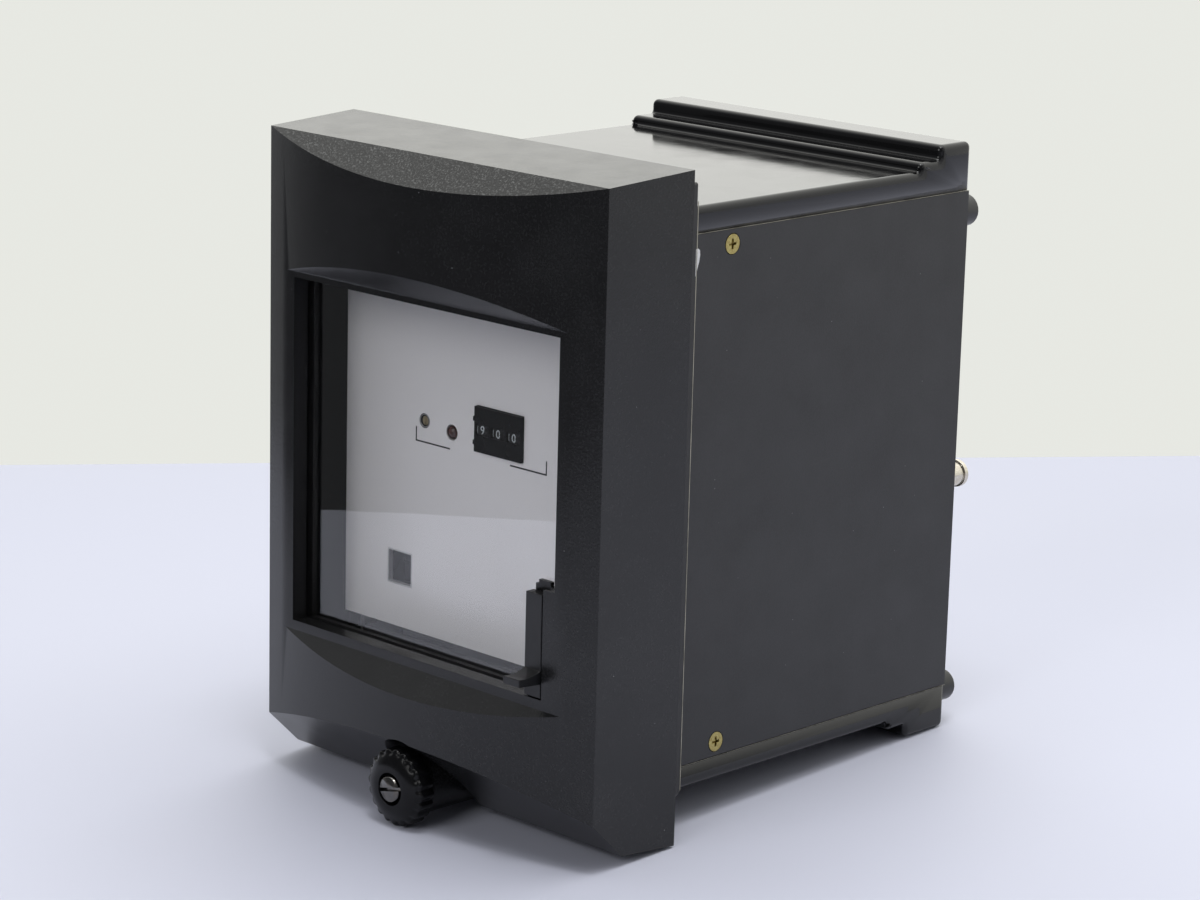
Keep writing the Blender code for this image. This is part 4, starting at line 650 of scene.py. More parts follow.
class Look(Enum):
    """The finishes of this relay."""

    # Both cover finishes carry painted glints on their grain: faint on the cover, strong on its upper arc.
    COVER = Moulding(
        "cover_grained_black", (0.0075, 0.0075, 0.008), 0.24, mottle=0.2, mottle_size=26.0,
        grain_size=0.85, grain_depth=0.04, drift=0.05, dust=0.22, scratch=0.0, specular=0.42,
        sparkle=0.035,
    )
    COVER_ARC = replace(
        COVER, name="cover_arc_black", roughness=0.31, grain_size=0.65, specular=0.5, sparkle=0.62,
    )
    COVER_INNER = Moulding(
        "retainer_black", (0.008, 0.008, 0.0085), 0.55, mottle=0.1, mottle_size=20.0, dust=0.0,
        scratch=0.0, specular=0.22,
    )
    CAP = Moulding(
        "cap_gloss_black", (0.006, 0.006, 0.0065), 0.1, mottle=0.15, mottle_size=30.0, grain_size=1.2,
        grain_depth=0.002, wave_depth=0.012, drift=0.05, dust=0.04, scratch=0.02, specular=0.46,
    )
    PANEL = Moulding(
        "panel_textured_black", (0.022, 0.022, 0.0235), 0.46, mottle=0.16, mottle_size=24.0,
        grain_size=0.55, grain_depth=0.03, drift=0.08, dust=0.16, scratch=0.05, specular=0.42,
    )
    FLANGE = Moulding("flange_black", (0.012, 0.012, 0.0125), 0.42, mottle=0.2, dust=0.08)
    REAR = Moulding(
        "rear_moulded_black", (0.016, 0.0155, 0.015), 0.42, mottle_size=10.0, grain_size=0.8, dust=0.25,
        scratch=0.15,
    )
    POST = Moulding(
        "post_black", (0.011, 0.011, 0.011), 0.34, mottle=0.2, mottle_size=5.0, grain_size=0.3,
        grain_depth=0.01,
    )
    NYLON = Moulding(
        "rail_nylon", (0.6, 0.58, 0.52), 0.42, mottle=0.08, mottle_size=9.0, grain_size=0.4,
        grain_depth=0.01, dust=0.02, scratch=0.0,
    )
    PHENOLIC = Moulding(
        "contact_phenolic", (0.03, 0.018, 0.013), 0.4, mottle=0.35, mottle_size=4.0, grain_depth=0.015,
        dust=0.05,
    )
    SLIDE = Moulding(
        "slide_black", (0.012, 0.012, 0.013), 0.36, mottle=0.2, mottle_size=8.0, grain_size=0.3,
        grain_depth=0.008, scratch=0.15,
    )
    KNOB = Moulding(
        "knob_black", (0.003, 0.003, 0.0035), 0.22, mottle=0.2, mottle_size=6.0, grain_size=0.35,
        grain_depth=0.006, dust=0.08, scratch=0.05, specular=0.24,
    )
    PLUG = Moulding("plug_black", (0.014, 0.014, 0.015), 0.4, mottle=0.25, mottle_size=9.0, dust=0.06)
    DIAL = Moulding(
        "dial_black", (0.003, 0.0032, 0.0045), 0.26, mottle=0.2, mottle_size=4.0, grain_size=0.25,
        grain_depth=0.004, dust=0.05, specular=0.14,
    )
    WHEEL = Moulding(
        "wheel_black", (0.004, 0.004, 0.005), 0.3, mottle=0.2, mottle_size=3.0, grain_size=0.25,
        grain_depth=0.004, dust=0.04, specular=0.25,
    )
    DIGIT = Moulding(
        "digit_white", (0.5, 0.54, 0.56), 0.45, mottle=0.08, mottle_size=2.0, grain_size=0.2,
        grain_depth=0.004, dust=0.05, scratch=0.0,
    )
    INK = Moulding(
        "print_black", (0.014, 0.014, 0.018), 0.4, mottle_size=2.0, grain_size=0.2, grain_depth=0.004,
        dust=0.02, scratch=0.0,
    )
    LABEL = Moulding(
        "label_white", (0.78, 0.78, 0.77), 0.42, mottle=0.03, mottle_size=6.0, grain_size=0.3,
        grain_depth=0.004, dust=0.04, scratch=0.0,
    )
    LAMP = Moulding(
        "lamp_red", (0.045, 0.014, 0.012), 0.2, mottle=0.25, mottle_size=1.6, grain_size=0.3,
        grain_depth=0.003, dust=0.03, scratch=0.0, coat=0.3,
    )
    FLAG = Moulding(
        "flag_black", (0.02, 0.02, 0.026), 0.32, mottle=0.15, mottle_size=5.0, grain_size=0.3,
        grain_depth=0.005, dust=0.06,
    )
    RELAY = Moulding(
        "relay_black", (0.014, 0.014, 0.016), 0.25, mottle=0.15, mottle_size=8.0, grain_size=0.4,
        grain_depth=0.005, dust=0.08,
    )
    SLEEVE = Moulding(
        "capacitor_sleeve", (0.02, 0.045, 0.14), 0.3, mottle=0.15, mottle_size=6.0, grain_size=0.4,
        grain_depth=0.004, dust=0.04,
    )
    POT = Moulding(
        "pot_blue", (0.02, 0.075, 0.26), 0.36, mottle=0.2, mottle_size=3.0, grain_size=0.3,
        grain_depth=0.005, dust=0.05,
    )
    CHIP = Moulding(
        "chip_black", (0.013, 0.013, 0.014), 0.5, mottle=0.2, mottle_size=3.0, grain_size=0.25,
        grain_depth=0.01, dust=0.06,
    )
    RESISTOR = Moulding(
        "resistor_tan", (0.36, 0.24, 0.12), 0.4, mottle=0.15, mottle_size=3.0, grain_size=0.3,
        grain_depth=0.004, dust=0.02, scratch=0.0,
    )
    WIRE_WHITE = Moulding(
        "wire_white", (0.62, 0.6, 0.55), 0.4, mottle=0.06, mottle_size=4.0, grain_size=0.4,
        grain_depth=0.004, dust=0.05, scratch=0.0,
    )
    WIRE_RED = Moulding(
        "wire_red", (0.36, 0.02, 0.015), 0.38, mottle=0.12, mottle_size=4.0, grain_size=0.4,
        grain_depth=0.004, dust=0.03, scratch=0.0,
    )
    PLATE = Plated(
        "plate_silver", (0.95, 0.935, 0.945), (0.91, 0.895, 0.905), 0.42, lines=(0.6, 1.0, 0.04),
        line_size=0.25, line_depth=0.0002, tarnish_size=60.0, tarnish_share=0.3, metallic=0.3, vary=0.12,
    )
    BEZEL = Plated(
        "plate_cut_edge", (0.74, 0.74, 0.75), (0.6, 0.6, 0.6), 0.3, line_size=0.2, line_depth=0.002,
        tarnish_size=2.0, tarnish_share=0.3, metallic=0.6,
    )
    ZINC = Plated(
        "cradle_zinc", (0.58, 0.58, 0.56), (0.42, 0.42, 0.4), 0.34, lines=(0.05, 0.05, 1.0),
        line_depth=0.006, tarnish_size=16.0, tarnish_share=0.45,
    )
    STEEL = Plated(
        "screw_steel", (0.5, 0.49, 0.47), (0.22, 0.2, 0.18), 0.3, line_size=0.25, tarnish_size=1.6,
        tarnish_share=0.55,
    )
    CROWNED = Plated(
        "screw_steel_crowned", (0.18, 0.178, 0.172), (0.18, 0.15, 0.12), 0.14, line_size=0.25,
        tarnish_size=2.4, crown=(0.0, 14.0, 9.0),
    )
    YELLOW_ZINC = Plated(
        "yellow_zinc", (0.46, 0.39, 0.155), (0.25, 0.16, 0.05), 0.26, line_size=0.2, tarnish_size=1.2,
        tarnish_share=0.6,
    )
    BARE_EDGE = Plated("worn_bare_edge", (0.42, 0.4, 0.33), (0.05, 0.045, 0.035), 0.4, tarnish_size=9.0)
    NICKEL = Plated(
        "stud_nickel", (0.66, 0.62, 0.54), (0.45, 0.38, 0.27), 0.22, lines=(1.0, 0.1, 1.0),
        line_size=0.25, line_depth=0.003, tarnish_share=0.4,
    )
    BRASS = Plated(
        "adjuster_brass", (0.46, 0.39, 0.25), (0.26, 0.19, 0.1), 0.3, line_size=0.2, tarnish_size=1.0,
        metallic=0.6,
    )
    TIN = Plated(
        "tinned_lead", (0.72, 0.72, 0.71), (0.5, 0.5, 0.48), 0.24, line_depth=0.003, tarnish_size=1.5,
        tarnish_share=0.3,
    )
    CORE = Layered(
        "core_sheets", (0.16, 0.155, 0.15), (0.05, 0.045, 0.04), pitch=0.7, across=Axis.Y, roughness=0.42,
        metallic=0.7,
    )
    TAPE = Layered(
        "winding_tape", (0.62, 0.45, 0.08), (0.4, 0.27, 0.04), pitch=6.5, across=Axis.Z, roughness=0.35,
        metallic=0.0,
    )
    BOARD = Circuit("board_green")
    PANE = ClearPane("clear_pane")


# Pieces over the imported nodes


def dress(name: str, look: Look) -> None:
    """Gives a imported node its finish.

    Args:
        name: The node's name.
        look: Its new finish.
    """
    mesh = frame["nodes"][name].data
    mesh.materials.clear()
    mesh.materials.append(look.value.material())


def add_piece(
    name: str, shape: Shape, body: Body, look: Look, smooth: float = 35.0
) -> bpy.types.Object:
    """Makes a new piece with its finish and the body that it rides on.

    Args:
        name: The piece's name.
        shape: Points in metres, in the model's frame, and faces.
        body: The body.
        look: Its finish.
        smooth: Edges that turn by more degrees than this stay sharp.

    Returns:
        The piece.
    """
    piece = build(name, shape, smooth)
    piece.data.materials.append(look.value.material())
    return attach(piece, body.value)


def softened(
    node: str, body: Body, look: Look, edge: float = 0.0, sharp: float = 34.0
) -> bpy.types.Object:
    """A node's own form with its flats rejoined, its curves shaded smooth and its corners rounded.

    Args:
        node: The node that the piece replaces.
        body: The body that it rides on.
        look: Its finish.
        edge: Width of the rounding in millimetres, or 0 for none.
        sharp: Edges that turn by more degrees than this are corners.

    Returns:
        The piece.
    """
    shape = bmesh.new()
    shape.from_mesh(frame["nodes"][node].data)
    bmesh.ops.remove_doubles(shape, verts=shape.verts, dist=2e-6)
    bmesh.ops.dissolve_limit(shape, angle_limit=math.radians(0.4), verts=shape.verts, edges=shape.edges)
    shape.verts.index_update()
    points = np.array([vertex.co for vertex in shape.verts])
    faces = [[corner.index for corner in face.verts] for face in shape.faces]
    shape.free()
    made = add_piece(node + "_formed", (points, faces), body, look, sharp)
    if edge:
        rounding = made.modifiers.new("rounding", "BEVEL")
        rounding.width = edge * MM
        rounding.segments = 2
        rounding.limit_method = "ANGLE"
        rounding.angle_limit = math.radians(sharp)
        rounding.harden_normals = True
    flats = made.modifiers.new("flats", "WEIGHTED_NORMAL")
    flats.keep_sharp = True
    flats.weight = 80
    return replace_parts(made, node)


def between(values: np.ndarray, limits: Pair) -> np.ndarray:
    """True for each value between two limits."""
    return (values > limits[0]) & (values < limits[1])


@dataclass
class CoverSet:
    """The moulded cover with its pane, reset slide and thumbscrew."""

    knob_axis: Point = (0.0, -14.1, 11.4)
    knob_radius: float = 14.0
    knob_length: float = 6.6
    knob_dome: float = 2.2
    knob_floor: float = 0.7
    knob_mouth: float = 5.95
    knob_bore: float = 2.9
    knob_edges: Pair = (0.9, 0.8)
    scallops: int = 20
    scallop_depth: float = 0.85
    scallop_steps: int = 12
    pane_half_width: float = 69.25
    pane_y: float = 2.9
    pane_seen: float = 0.6
    pane_z: Pair = (53.35, 184.95)
    hollow_half_width: float = 82.4
    hollow_y: Pair = (6.2, 39.0)
    hollow_z: Pair = (30.0, 234.2)
    window_half_width: float = 76.0
    window_z: Pair = (45.0, 200.0)
    arc_z: float = 205.0
    reveal_share: float = 0.8
    arc_share: float = 0.15

    def make(self) -> None:
        """Builds and dresses the set."""
        self.sort_faces(softened("cover", Body.COVER, Look.COVER, 0.45, sharp=28.0))
        self.pane()
        dress("pane_retainer", Look.COVER_INNER)
        softened("reset_slide", Body.SLIDE, Look.SLIDE, 0.25)
        self.knob()
        softened("thumbscrew_screw", Body.THUMBSCREW, Look.CROWNED, 0.12)

    def pane(self) -> None:
        """The clear sheet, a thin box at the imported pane's front, so that what is behind it isn't shifted."""
        half, front = self.pane_half_width, self.pane_y
        sheet = boxes((-half, half), (front, front + self.pane_seen), self.pane_z)
        made = add_piece("window_pane_sheet", sheet, Body.COVER, Look.PANE)
        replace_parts(made, "window_pane")

    def sort_faces(self, cover: bpy.types.Object) -> None:
        """Gives the hollow and the window's side walls the inner finish, and the upper arc a coarser grain with
        painted glints.

        A face is sorted by where its middle lies and by the share of its normal along each axis.

        Args:
            cover: The cover.
        """
        mesh = cover.data
        middles, normals = np.zeros((2, len(mesh.polygons) * 3))
        mesh.polygons.foreach_get("center", middles)
        mesh.polygons.foreach_get("normal", normals)
        x, y, z = ((middles.reshape(-1, 3) - DATUM) / MM).T
        sideways, forward, upward = (normals.reshape(-1, 3) * (1.0, -1.0, 1.0)).T
        hollow = (np.abs(x) < self.hollow_half_width) & between(y, self.hollow_y) & between(z, self.hollow_z)
        window = (np.abs(x) < self.window_half_width) & between(z, self.window_z)
        inside = hollow | (window & (np.abs(sideways) > self.reveal_share))
        arc = (np.minimum(forward, upward) > self.arc_share) & (z > self.arc_z) & ~inside
        for look in (Look.COVER_INNER, Look.COVER_ARC):
            mesh.materials.append(look.value.material())
        mesh.polygons.foreach_set("material_index", (inside + 2 * arc).astype(np.int32))

    def knob(self) -> None:
        """The scalloped knob.

        A profile of (along, radius) points runs from the front bore over the dome and down
        the rim to the back. At angle t the radius loses the scallop's depth times
        (0.5 - 0.5 cos(n t)) to the power 1.5, where n is the number of scallops, times a
        weight that is 0 inside the dome and 1 at the rim.
        """
        mouth, rim, length, dome = self.knob_mouth, self.knob_radius, self.knob_length, self.knob_dome
        floor, bore, (front, rear) = self.knob_floor, self.knob_bore, self.knob_edges
        share = np.linspace(0.0, 1.0, 14)
        turn = np.linspace(0.0, math.pi / 2, 6)[1:]
        profile = [(floor + 2.0, bore), (floor, bore), (floor, mouth - 0.3)]
        profile += [(-dome + 0.5, mouth - 0.3), (-dome + 0.15, mouth - 0.1)]
        profile += list(zip(-dome * (1.0 - share**2.2) + 0.1 * share, mouth + (rim - front - mouth) * share))
        profile += list(zip(0.1 + front * (1 - np.cos(turn)), rim - front + front * np.sin(turn)))
        profile += list(zip(length - rear + rear * np.sin(turn), rim - rear + rear * np.cos(turn)))
        profile += [(length, bore)]
        along, radius = np.array(profile).T
        steps = self.scallops * self.scallop_steps
        t = np.linspace(0.0, 2 * math.pi, steps, endpoint=False)
        weight = np.clip((radius - (rim - 2.4)) / 1.6, 0.0, 1.0)
        weight = weight**2 * (3 - 2 * weight)
        lobes = (0.5 - 0.5 * np.cos(self.scallops * t)) ** 1.5
        reach = radius[:, None] - self.scallop_depth * weight[:, None] * lobes[None, :]
        depth = np.repeat(along[:, None], steps, 1)
        points = np.stack([reach * np.cos(t), depth, reach * np.sin(t)], axis=-1)
        shape = placed(points.reshape(-1, 3) + self.knob_axis), ring_faces(len(along), steps, closed=True)
        made = add_piece("thumbscrew_knob_scalloped", shape, Body.THUMBSCREW, Look.KNOB, 40.0)
        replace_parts(made, "thumbscrew_knob")


@dataclass
class Cap:
    """A ribbed cap: its side profile carried across the case, with every edge rounded.

    Its up is 1 for the cap above the case and -1 for the one below, and each of its steps is a
    place along the case and the rise there.
    """

    node: str
    seam: float
    up: int
    steps: tuple[Pair, ...]
    half_width: float = 72.4
    rear: float = 201.2
    corner: float = 2.3
    hollow: float = 1.5
    edge: float = 2.0
    wall: float = 1.6
    strip: float = 0.12
    end_strip: float = 0.15
    arc: int = 7

    def outline(self, inset: float) -> np.ndarray:
        """The side profile, moved inwards by a distance.

        At each step's foot and head the line turns through an arc: from its centre the point at
        angle a stands r (sin a) along the way in and -r (cos a) along the way out. An outer
        arc loses the inset from its radius and an inner arc gains it. A narrow strip beside each
        arc keeps the flats' shading level.

        Args:
            inset: The distance in millimetres.

        Returns:
            Points as (y, z) in millimetres, from the front's seam to the rear's.
        """
        knots = [(self.steps[0][0], 0.0)]
        level = 0.0
        for y, rise in self.steps:
            knots += [(y, level)] if level else []
            level += rise
            knots += [(y, level)]
        knots += [(self.rear, level), (self.rear, 0.0)]
        knots = np.array(knots)
        way = np.diff(knots, axis=0)
        way /= np.linalg.norm(way, axis=1, keepdims=True)
        inward = np.stack([way[:, 1], -way[:, 0]], axis=-1)
        a = np.linspace(0.0, math.pi / 2, self.arc)[:, None]
        parts = [knots[:1] + inset * inward[:1]]
        for k in range(1, len(knots) - 1):
            before, after = way[k - 1], way[k]
            outer = before[0] * after[1] - before[1] * after[0] < 0
            radius = self.corner - inset if outer else self.hollow + inset
            corner = knots[k] + inset * (inward[k - 1] + inward[k])
            centre = corner + radius * (after - before)
            arc = centre + radius * (np.sin(a) * before - np.cos(a) * after)
            parts += [arc[:1] - self.strip * before, arc, arc[-1:] + self.strip * after]
        parts.append(knots[-1:] + inset * inward[-1:])
        points = np.vstack(parts)
        points[:, 1] = self.seam + self.up * points[:, 1]
        return points

    def make(self) -> None:
        """The cap as a skin open towards the case, then thickened inwards.

        Ring phi of an end stands at half width - r + r sin(phi) with the profile moved in by
        r (1 - cos(phi)), where r is the edge's radius.
        """
        turn = np.linspace(0.0, math.pi / 2, self.arc)
        flat = self.half_width - self.edge
        across = np.concatenate([[flat - self.end_strip], flat + self.edge * np.sin(turn)])
        insets = np.concatenate([[0.0], self.edge * (1.0 - np.cos(turn))])
        outlines = [self.outline(inset) for inset in insets]
        rings = [np.column_stack([np.full(len(line), x), line]) for x, line in zip(across, outlines)]
        mirrored = [ring * (-1.0, 1.0, 1.0) for ring in rings[::-1]]
        points = np.vstack(mirrored + rings)
        count, total = len(rings[0]), 2 * len(rings)
        start = (np.arange(total - 1)[:, None] * count + np.arange(count - 1)).reshape(-1)
        faces = np.stack([start, start + 1, start + count + 1, start + count], axis=-1).tolist()
        faces += ends(total, count)
        if self.up > 0:
            faces = [face[::-1] for face in faces]
        shape = placed(points), faces
        made = add_piece(self.node + "_formed", shape, Body.CASE, Look.CAP, 40.0)
        skin = made.modifiers.new("wall", "SOLIDIFY")
        skin.thickness = self.wall * MM
        skin.offset = -1.0
        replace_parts(made, self.node)


@dataclass
class CaseSet:
    """The flange, caps, side panels, rear panel and what is fixed to them."""

    half_width: float = 72.4
    flange_half: float = 78.6
    seam_z: Pair = (22.0, 211.3)
    flange_rear: float = 48.9
    rear_face: float = 201.2
    number_x: float = 49.5
    number_height: float = 4.0
    number_depth: float = 0.06
    number_gap: float = 0.04
    terminal_first_z: float = 44.5
    terminal_pitch: float = 17.0
    terminal_rows: int = 5

    def make(self) -> None:
        """Builds and dresses the set."""
        softened("mounting_flange", Body.CASE, Look.FLANGE, 0.15)
        Cap("case_top_cap", seam=211.5, up=1, steps=((48.8, 9.0), (172.5, 3.4), (183.6, 5.3))).make()
        Cap("case_bottom_cap", seam=21.8, up=-1, steps=((48.8, 8.1), (168.0, 3.1), (178.5, 4.9))).make()
        for name in ("case_side_left", "case_side_right"):
            softened(name, Body.CASE, Look.PANEL, sharp=28.0)
        for number in range(1, 5):
            softened("side_screw_%d" % number, Body.CASE, Look.YELLOW_ZINC, 0.12)
            softened("rear_post_%d" % number, Body.CASE, Look.POST, 0.1)
        for number in (1, 2):
            softened("rear_stud_%d" % number, Body.CASE, Look.NICKEL, 0.12)
        for number in range(1, 11):
            softened("terminal_screw_%02d" % number, Body.CASE, Look.NICKEL, 0.12)
        softened("rear_panel", Body.CASE, Look.REAR, 0.2)
        for name in ("guide_rail_left", "guide_rail_right"):
            dress(name, Look.NYLON)
        dress("case_contact_block", Look.PHENOLIC)
        self.label()
        self.worn_edges()
        self.terminal_numbers()

    def label(self) -> None:
        """The torn end of a blank label beside the flange: an outline raised from the side panel."""
        edge = np.array([
            (self.flange_rear, 195.2), (53.9, 195.4), (54.7, 197.0), (55.4, 199.4), (56.2, 201.6),
            (56.6, 204.0), (56.4, 205.6), (55.6, 206.2), (self.flange_rear, 206.2),
        ])
        count = len(edge)
        layers = [np.column_stack([np.full(count, self.half_width + out), edge]) for out in (0.01, 0.13)]
        faces = ring_faces(2, count)[:, ::-1].tolist() + ends(2, count)
        add_piece("side_label", (placed(np.vstack(layers)), faces), Body.CASE, Look.LABEL)

    def worn_edges(self) -> None:
        """Bare edges, three thin strips to a side: the panel's top, its bottom and the flange's corner."""
        bottom, top = self.seam_z
        x = np.repeat([-1.0, 1.0], 3) * np.tile([self.half_width, self.half_width, self.flange_half], 2)
        y = np.tile([[self.flange_rear, self.flange_rear, 48.2], [201.0, 201.0, 48.52]], 2)
        z = np.tile([[top - 0.17, bottom + 0.02, 16.5], [top - 0.02, bottom + 0.12, 224.0]], 2)
        strips = boxes((x - np.tile([0.06, 0.06, 0.1], 2), x + 0.02), y, z)
        add_piece("worn_edges", strips, Body.CASE, Look.BARE_EDGE)

    def terminal_numbers(self) -> None:
        """Plain printed numbers beside the terminals, each glyph set flat on the rear panel."""
        parts = []
        for side in (-1, 1):
            for row in range(self.terminal_rows):
                number = row + 1 + (self.terminal_rows if side > 0 else 0)
                points, faces = glyph(str(number), self.number_height, self.number_depth)
                across, upward, out = points.T
                x = side * self.number_x - across
                y = self.rear_face + self.number_gap + out
                z = self.terminal_first_z + self.terminal_pitch * row + upward
                parts.append((placed(np.stack([x, y, z], axis=-1)), faces))
        add_piece("terminal_numbers", gathered(parts), Body.CASE, Look.DIGIT)


@dataclass
class ChassisSet:
    """The cradle with its front plate, dial switch, adjuster, lamp, target and boards."""

    plate_y: float = 25.0
    dial_x: float = 9.9
    dial_z: float = 134.9
    dial_pitch: float = 7.83
    wheel_y: float = 30.1
    wheel_radius: float = 6.0
    shown: tuple[int, int, int] = (9, 0, 0)
    digit_height: float = 3.1
    digit_depth: float = 0.05
    digit_gap: float = 0.03
    # Place across and half height of the painted highlight line left of each digit.
    index_x: Pair = (-2.42, -2.28)
    index_half_height: float = 1.25
    mask_x: Pair = (-3.4, 3.3)
    mask_z: Pair = (2.0, -5.6)
    mask_height: float = 3.6
    clip_z: Pair = (2.8, -5.7)
    clip_width: float = 0.85
    clip_height: float = 1.6
    bracket_line: float = 0.6
    bracket_strips: tuple[tuple[Pair, Pair], ...] = (
        ((-32.7, -32.7), (124.9, 129.7)),
        ((-32.7, -15.5), (124.9, 124.9)),
        ((15.6, 33.2), (124.7, 124.7)),
        ((33.2, 33.2), (124.7, 129.3)),
    )
    adjuster_x: float = -28.5
    adjuster_z: float = 132.7
    target_x: float = -40.5
    target_z: float = 75.9
    target_opening: float = 13.0

    def make(self) -> None:
        """Builds and dresses the set."""
        dress("cradle", Look.ZINC)
        softened("front_plate", Body.CHASSIS, Look.PLATE, sharp=30.0)
        dress("dial_housing", Look.DIAL)
        dress("dial_shaft", Look.STEEL)
        for number, body in enumerate((Body.DIAL_1, Body.DIAL_2, Body.DIAL_3), 1):
            softened("dial_wheel_%d" % number, body, Look.WHEEL, 0.08)
            self.digits(number, body)
        self.masks()
        self.clips()
        self.adjuster_collar()
        softened("pickup_pot", Body.CHASSIS, Look.POT, 0.1)
        softened("pickup_adjuster", Body.ADJUSTER, Look.BRASS, 0.06)
        softened("indicator_lamp", Body.CHASSIS, Look.LAMP, sharp=50.0)
        dress("target_housing", Look.DIAL)
        dress("target_flag", Look.FLAG)
        self.brackets()
        self.target_frame()
        dress("chassis_contact_block", Look.PHENOLIC)
        softened("connection_plug", Body.PLUG, Look.PLUG, 0.15)
        dress("logic_board", Look.BOARD)
        dress("power_board", Look.BOARD)
        for number in (1, 2):
            softened("output_relay_%d" % number, Body.CHASSIS, Look.RELAY)
            softened("capacitor_%d" % number, Body.CHASSIS, Look.SLEEVE)
        dress("transformer_core", Look.CORE)
        dress("transformer_winding", Look.TAPE)

    def wheel_centre(self, number: int) -> float:
        """Middle plane of a number wheel."""
        return self.dial_x + self.dial_pitch * (number - 2)

    def digits(self, number: int, body: Body) -> None:
        """Ten digits, and a painted highlight line left of each, bent round a wheel's drum.

        A point at height h of a glyph that faces the front stands at angle h / R round the
        wheel's axis, plus 36 degrees for each step to the next digit.

        Args:
            number: The wheel's number.
            body: The wheel's body.
        """
        parts = []
        for step in range(10):
            value = (self.shown[number - 1] + step) % 10
            digit = glyph(str(value), self.digit_height, self.digit_depth)
            for flat, faces in (digit, self.index_line()):
                across, upward, out = flat.T
                turn = upward / self.wheel_radius + math.radians(36.0) * step
                radius = self.wheel_radius + self.digit_gap + out
                x = self.wheel_centre(number) + across
                y = self.wheel_y - radius * np.cos(turn)
                z = self.dial_z + radius * np.sin(turn)
                parts.append((placed(np.stack([x, y, z], axis=-1)), faces))
        add_piece("dial_digits_%d" % number, gathered(parts), body, Look.DIGIT)

    def index_line(self) -> Shape:
        """The short upright painted highlight left of a digit: a strip of cross-sections, flat before it is
        bent.

        Returns:
            Points as (across, up, out) in millimetres, and faces.
        """
        rows = np.linspace(-self.index_half_height, self.index_half_height, 5)
        (left, right), out = self.index_x, self.digit_depth / 2
        square = np.array([[left, -out], [right, -out], [right, out], [left, out]])
        x, y = np.tile(square.T, len(rows))
        faces = ring_faces(len(rows), len(square)).tolist() + ends(len(rows), len(square))
        return np.stack([x, np.repeat(rows, len(square)), y], axis=-1), faces

    def masks(self) -> None:
        """The plates that leave one digit of each wheel in sight, above and below its window."""
        front = self.plate_y - 1.2
        left, right = self.mask_x
        x = np.repeat([self.wheel_centre(number) for number in (1, 2, 3)], 2)
        z = self.dial_z + np.tile(self.mask_z, 3)
        plates = boxes((x + left, x + right), (front + 0.02, front + 0.42), (z, z + self.mask_height))
        add_piece("dial_masks", plates, Body.CHASSIS, Look.DIAL)

    def clips(self) -> None:
        """The switch block's two small clips at its left edge, in front of the plate."""
        x = self.dial_x - 1.5 * self.dial_pitch - 0.75
        y = self.plate_y - 1.1
        z = self.dial_z + np.array(self.clip_z)
        clips = boxes((x, x + self.clip_width), (y, y + 0.9), (z, z + self.clip_height))
        add_piece("dial_clips", clips, Body.CHASSIS, Look.DIAL)

    def adjuster_collar(self) -> None:
        """The bright bush round the adjuster in the plate's hole, and near-black rings of painted shade in the
        gaps beside it, all as rings.
        """
        centre = (self.adjuster_x, self.plate_y, self.adjuster_z)
        # Painted shade: near-black rings fill the gaps where the hole's shadow falls.
        rings = []
        for front, inner, outer in ((0.1, 2.42, 2.68), (0.3, 1.7, 2.14)):
            section = [(front, inner), (front, outer), (front + 0.2, outer), (front + 0.2, inner)]
            rings.append(turned(section, Axis.Y, centre, hollow=True))
        add_piece("adjuster_gap", gathered(rings), Body.CHASSIS, Look.DIAL)
        section = [(1.4, 2.16), (0.3, 2.16), (0.0, 2.22), (0.0, 2.34), (0.15, 2.4), (1.9, 2.4), (1.9, 2.16)]
        bush = turned(section, Axis.Y, centre, hollow=True)
        add_piece("adjuster_collar", bush, Body.CHASSIS, Look.BEZEL)

    def brackets(self) -> None:
        """The two printed lines under the setting controls, each an L of two thin strips of ink."""
        half = self.bracket_line / 2
        x, z = np.array(self.bracket_strips).transpose(1, 2, 0)
        y = (self.plate_y - 0.035 + 0.002 * np.arange(len(self.bracket_strips)), self.plate_y - 0.005)
        strips = boxes((x[0] - half, x[1] + half), y, (z[0] - half, z[1] + half))
        add_piece("plate_bracket_lines", strips, Body.CHASSIS, Look.INK)

    def target_frame(self) -> None:
        """The bright lining of the target's opening: a square section carried round a square path."""
        half = self.target_opening / 2
        section = np.array([[0.0, -0.05], [0.0, 1.9], [-0.6, 1.9], [-0.6, -0.05]])
        corners = np.array([[-1.0, -1.0], [1.0, -1.0], [1.0, 1.0], [-1.0, 1.0]])
        reach = half - 0.02 + section[:, 0]
        x = self.target_x + corners[:, :1] * reach
        z = self.target_z + corners[:, 1:] * reach
        y = np.tile(self.plate_y + section[:, 1], (4, 1))
        shape = placed(np.stack([x, y, z], axis=-1).reshape(-1, 3)), ring_faces(4, 4, closed=True)
        add_piece("target_frame", shape, Body.CHASSIS, Look.BEZEL)


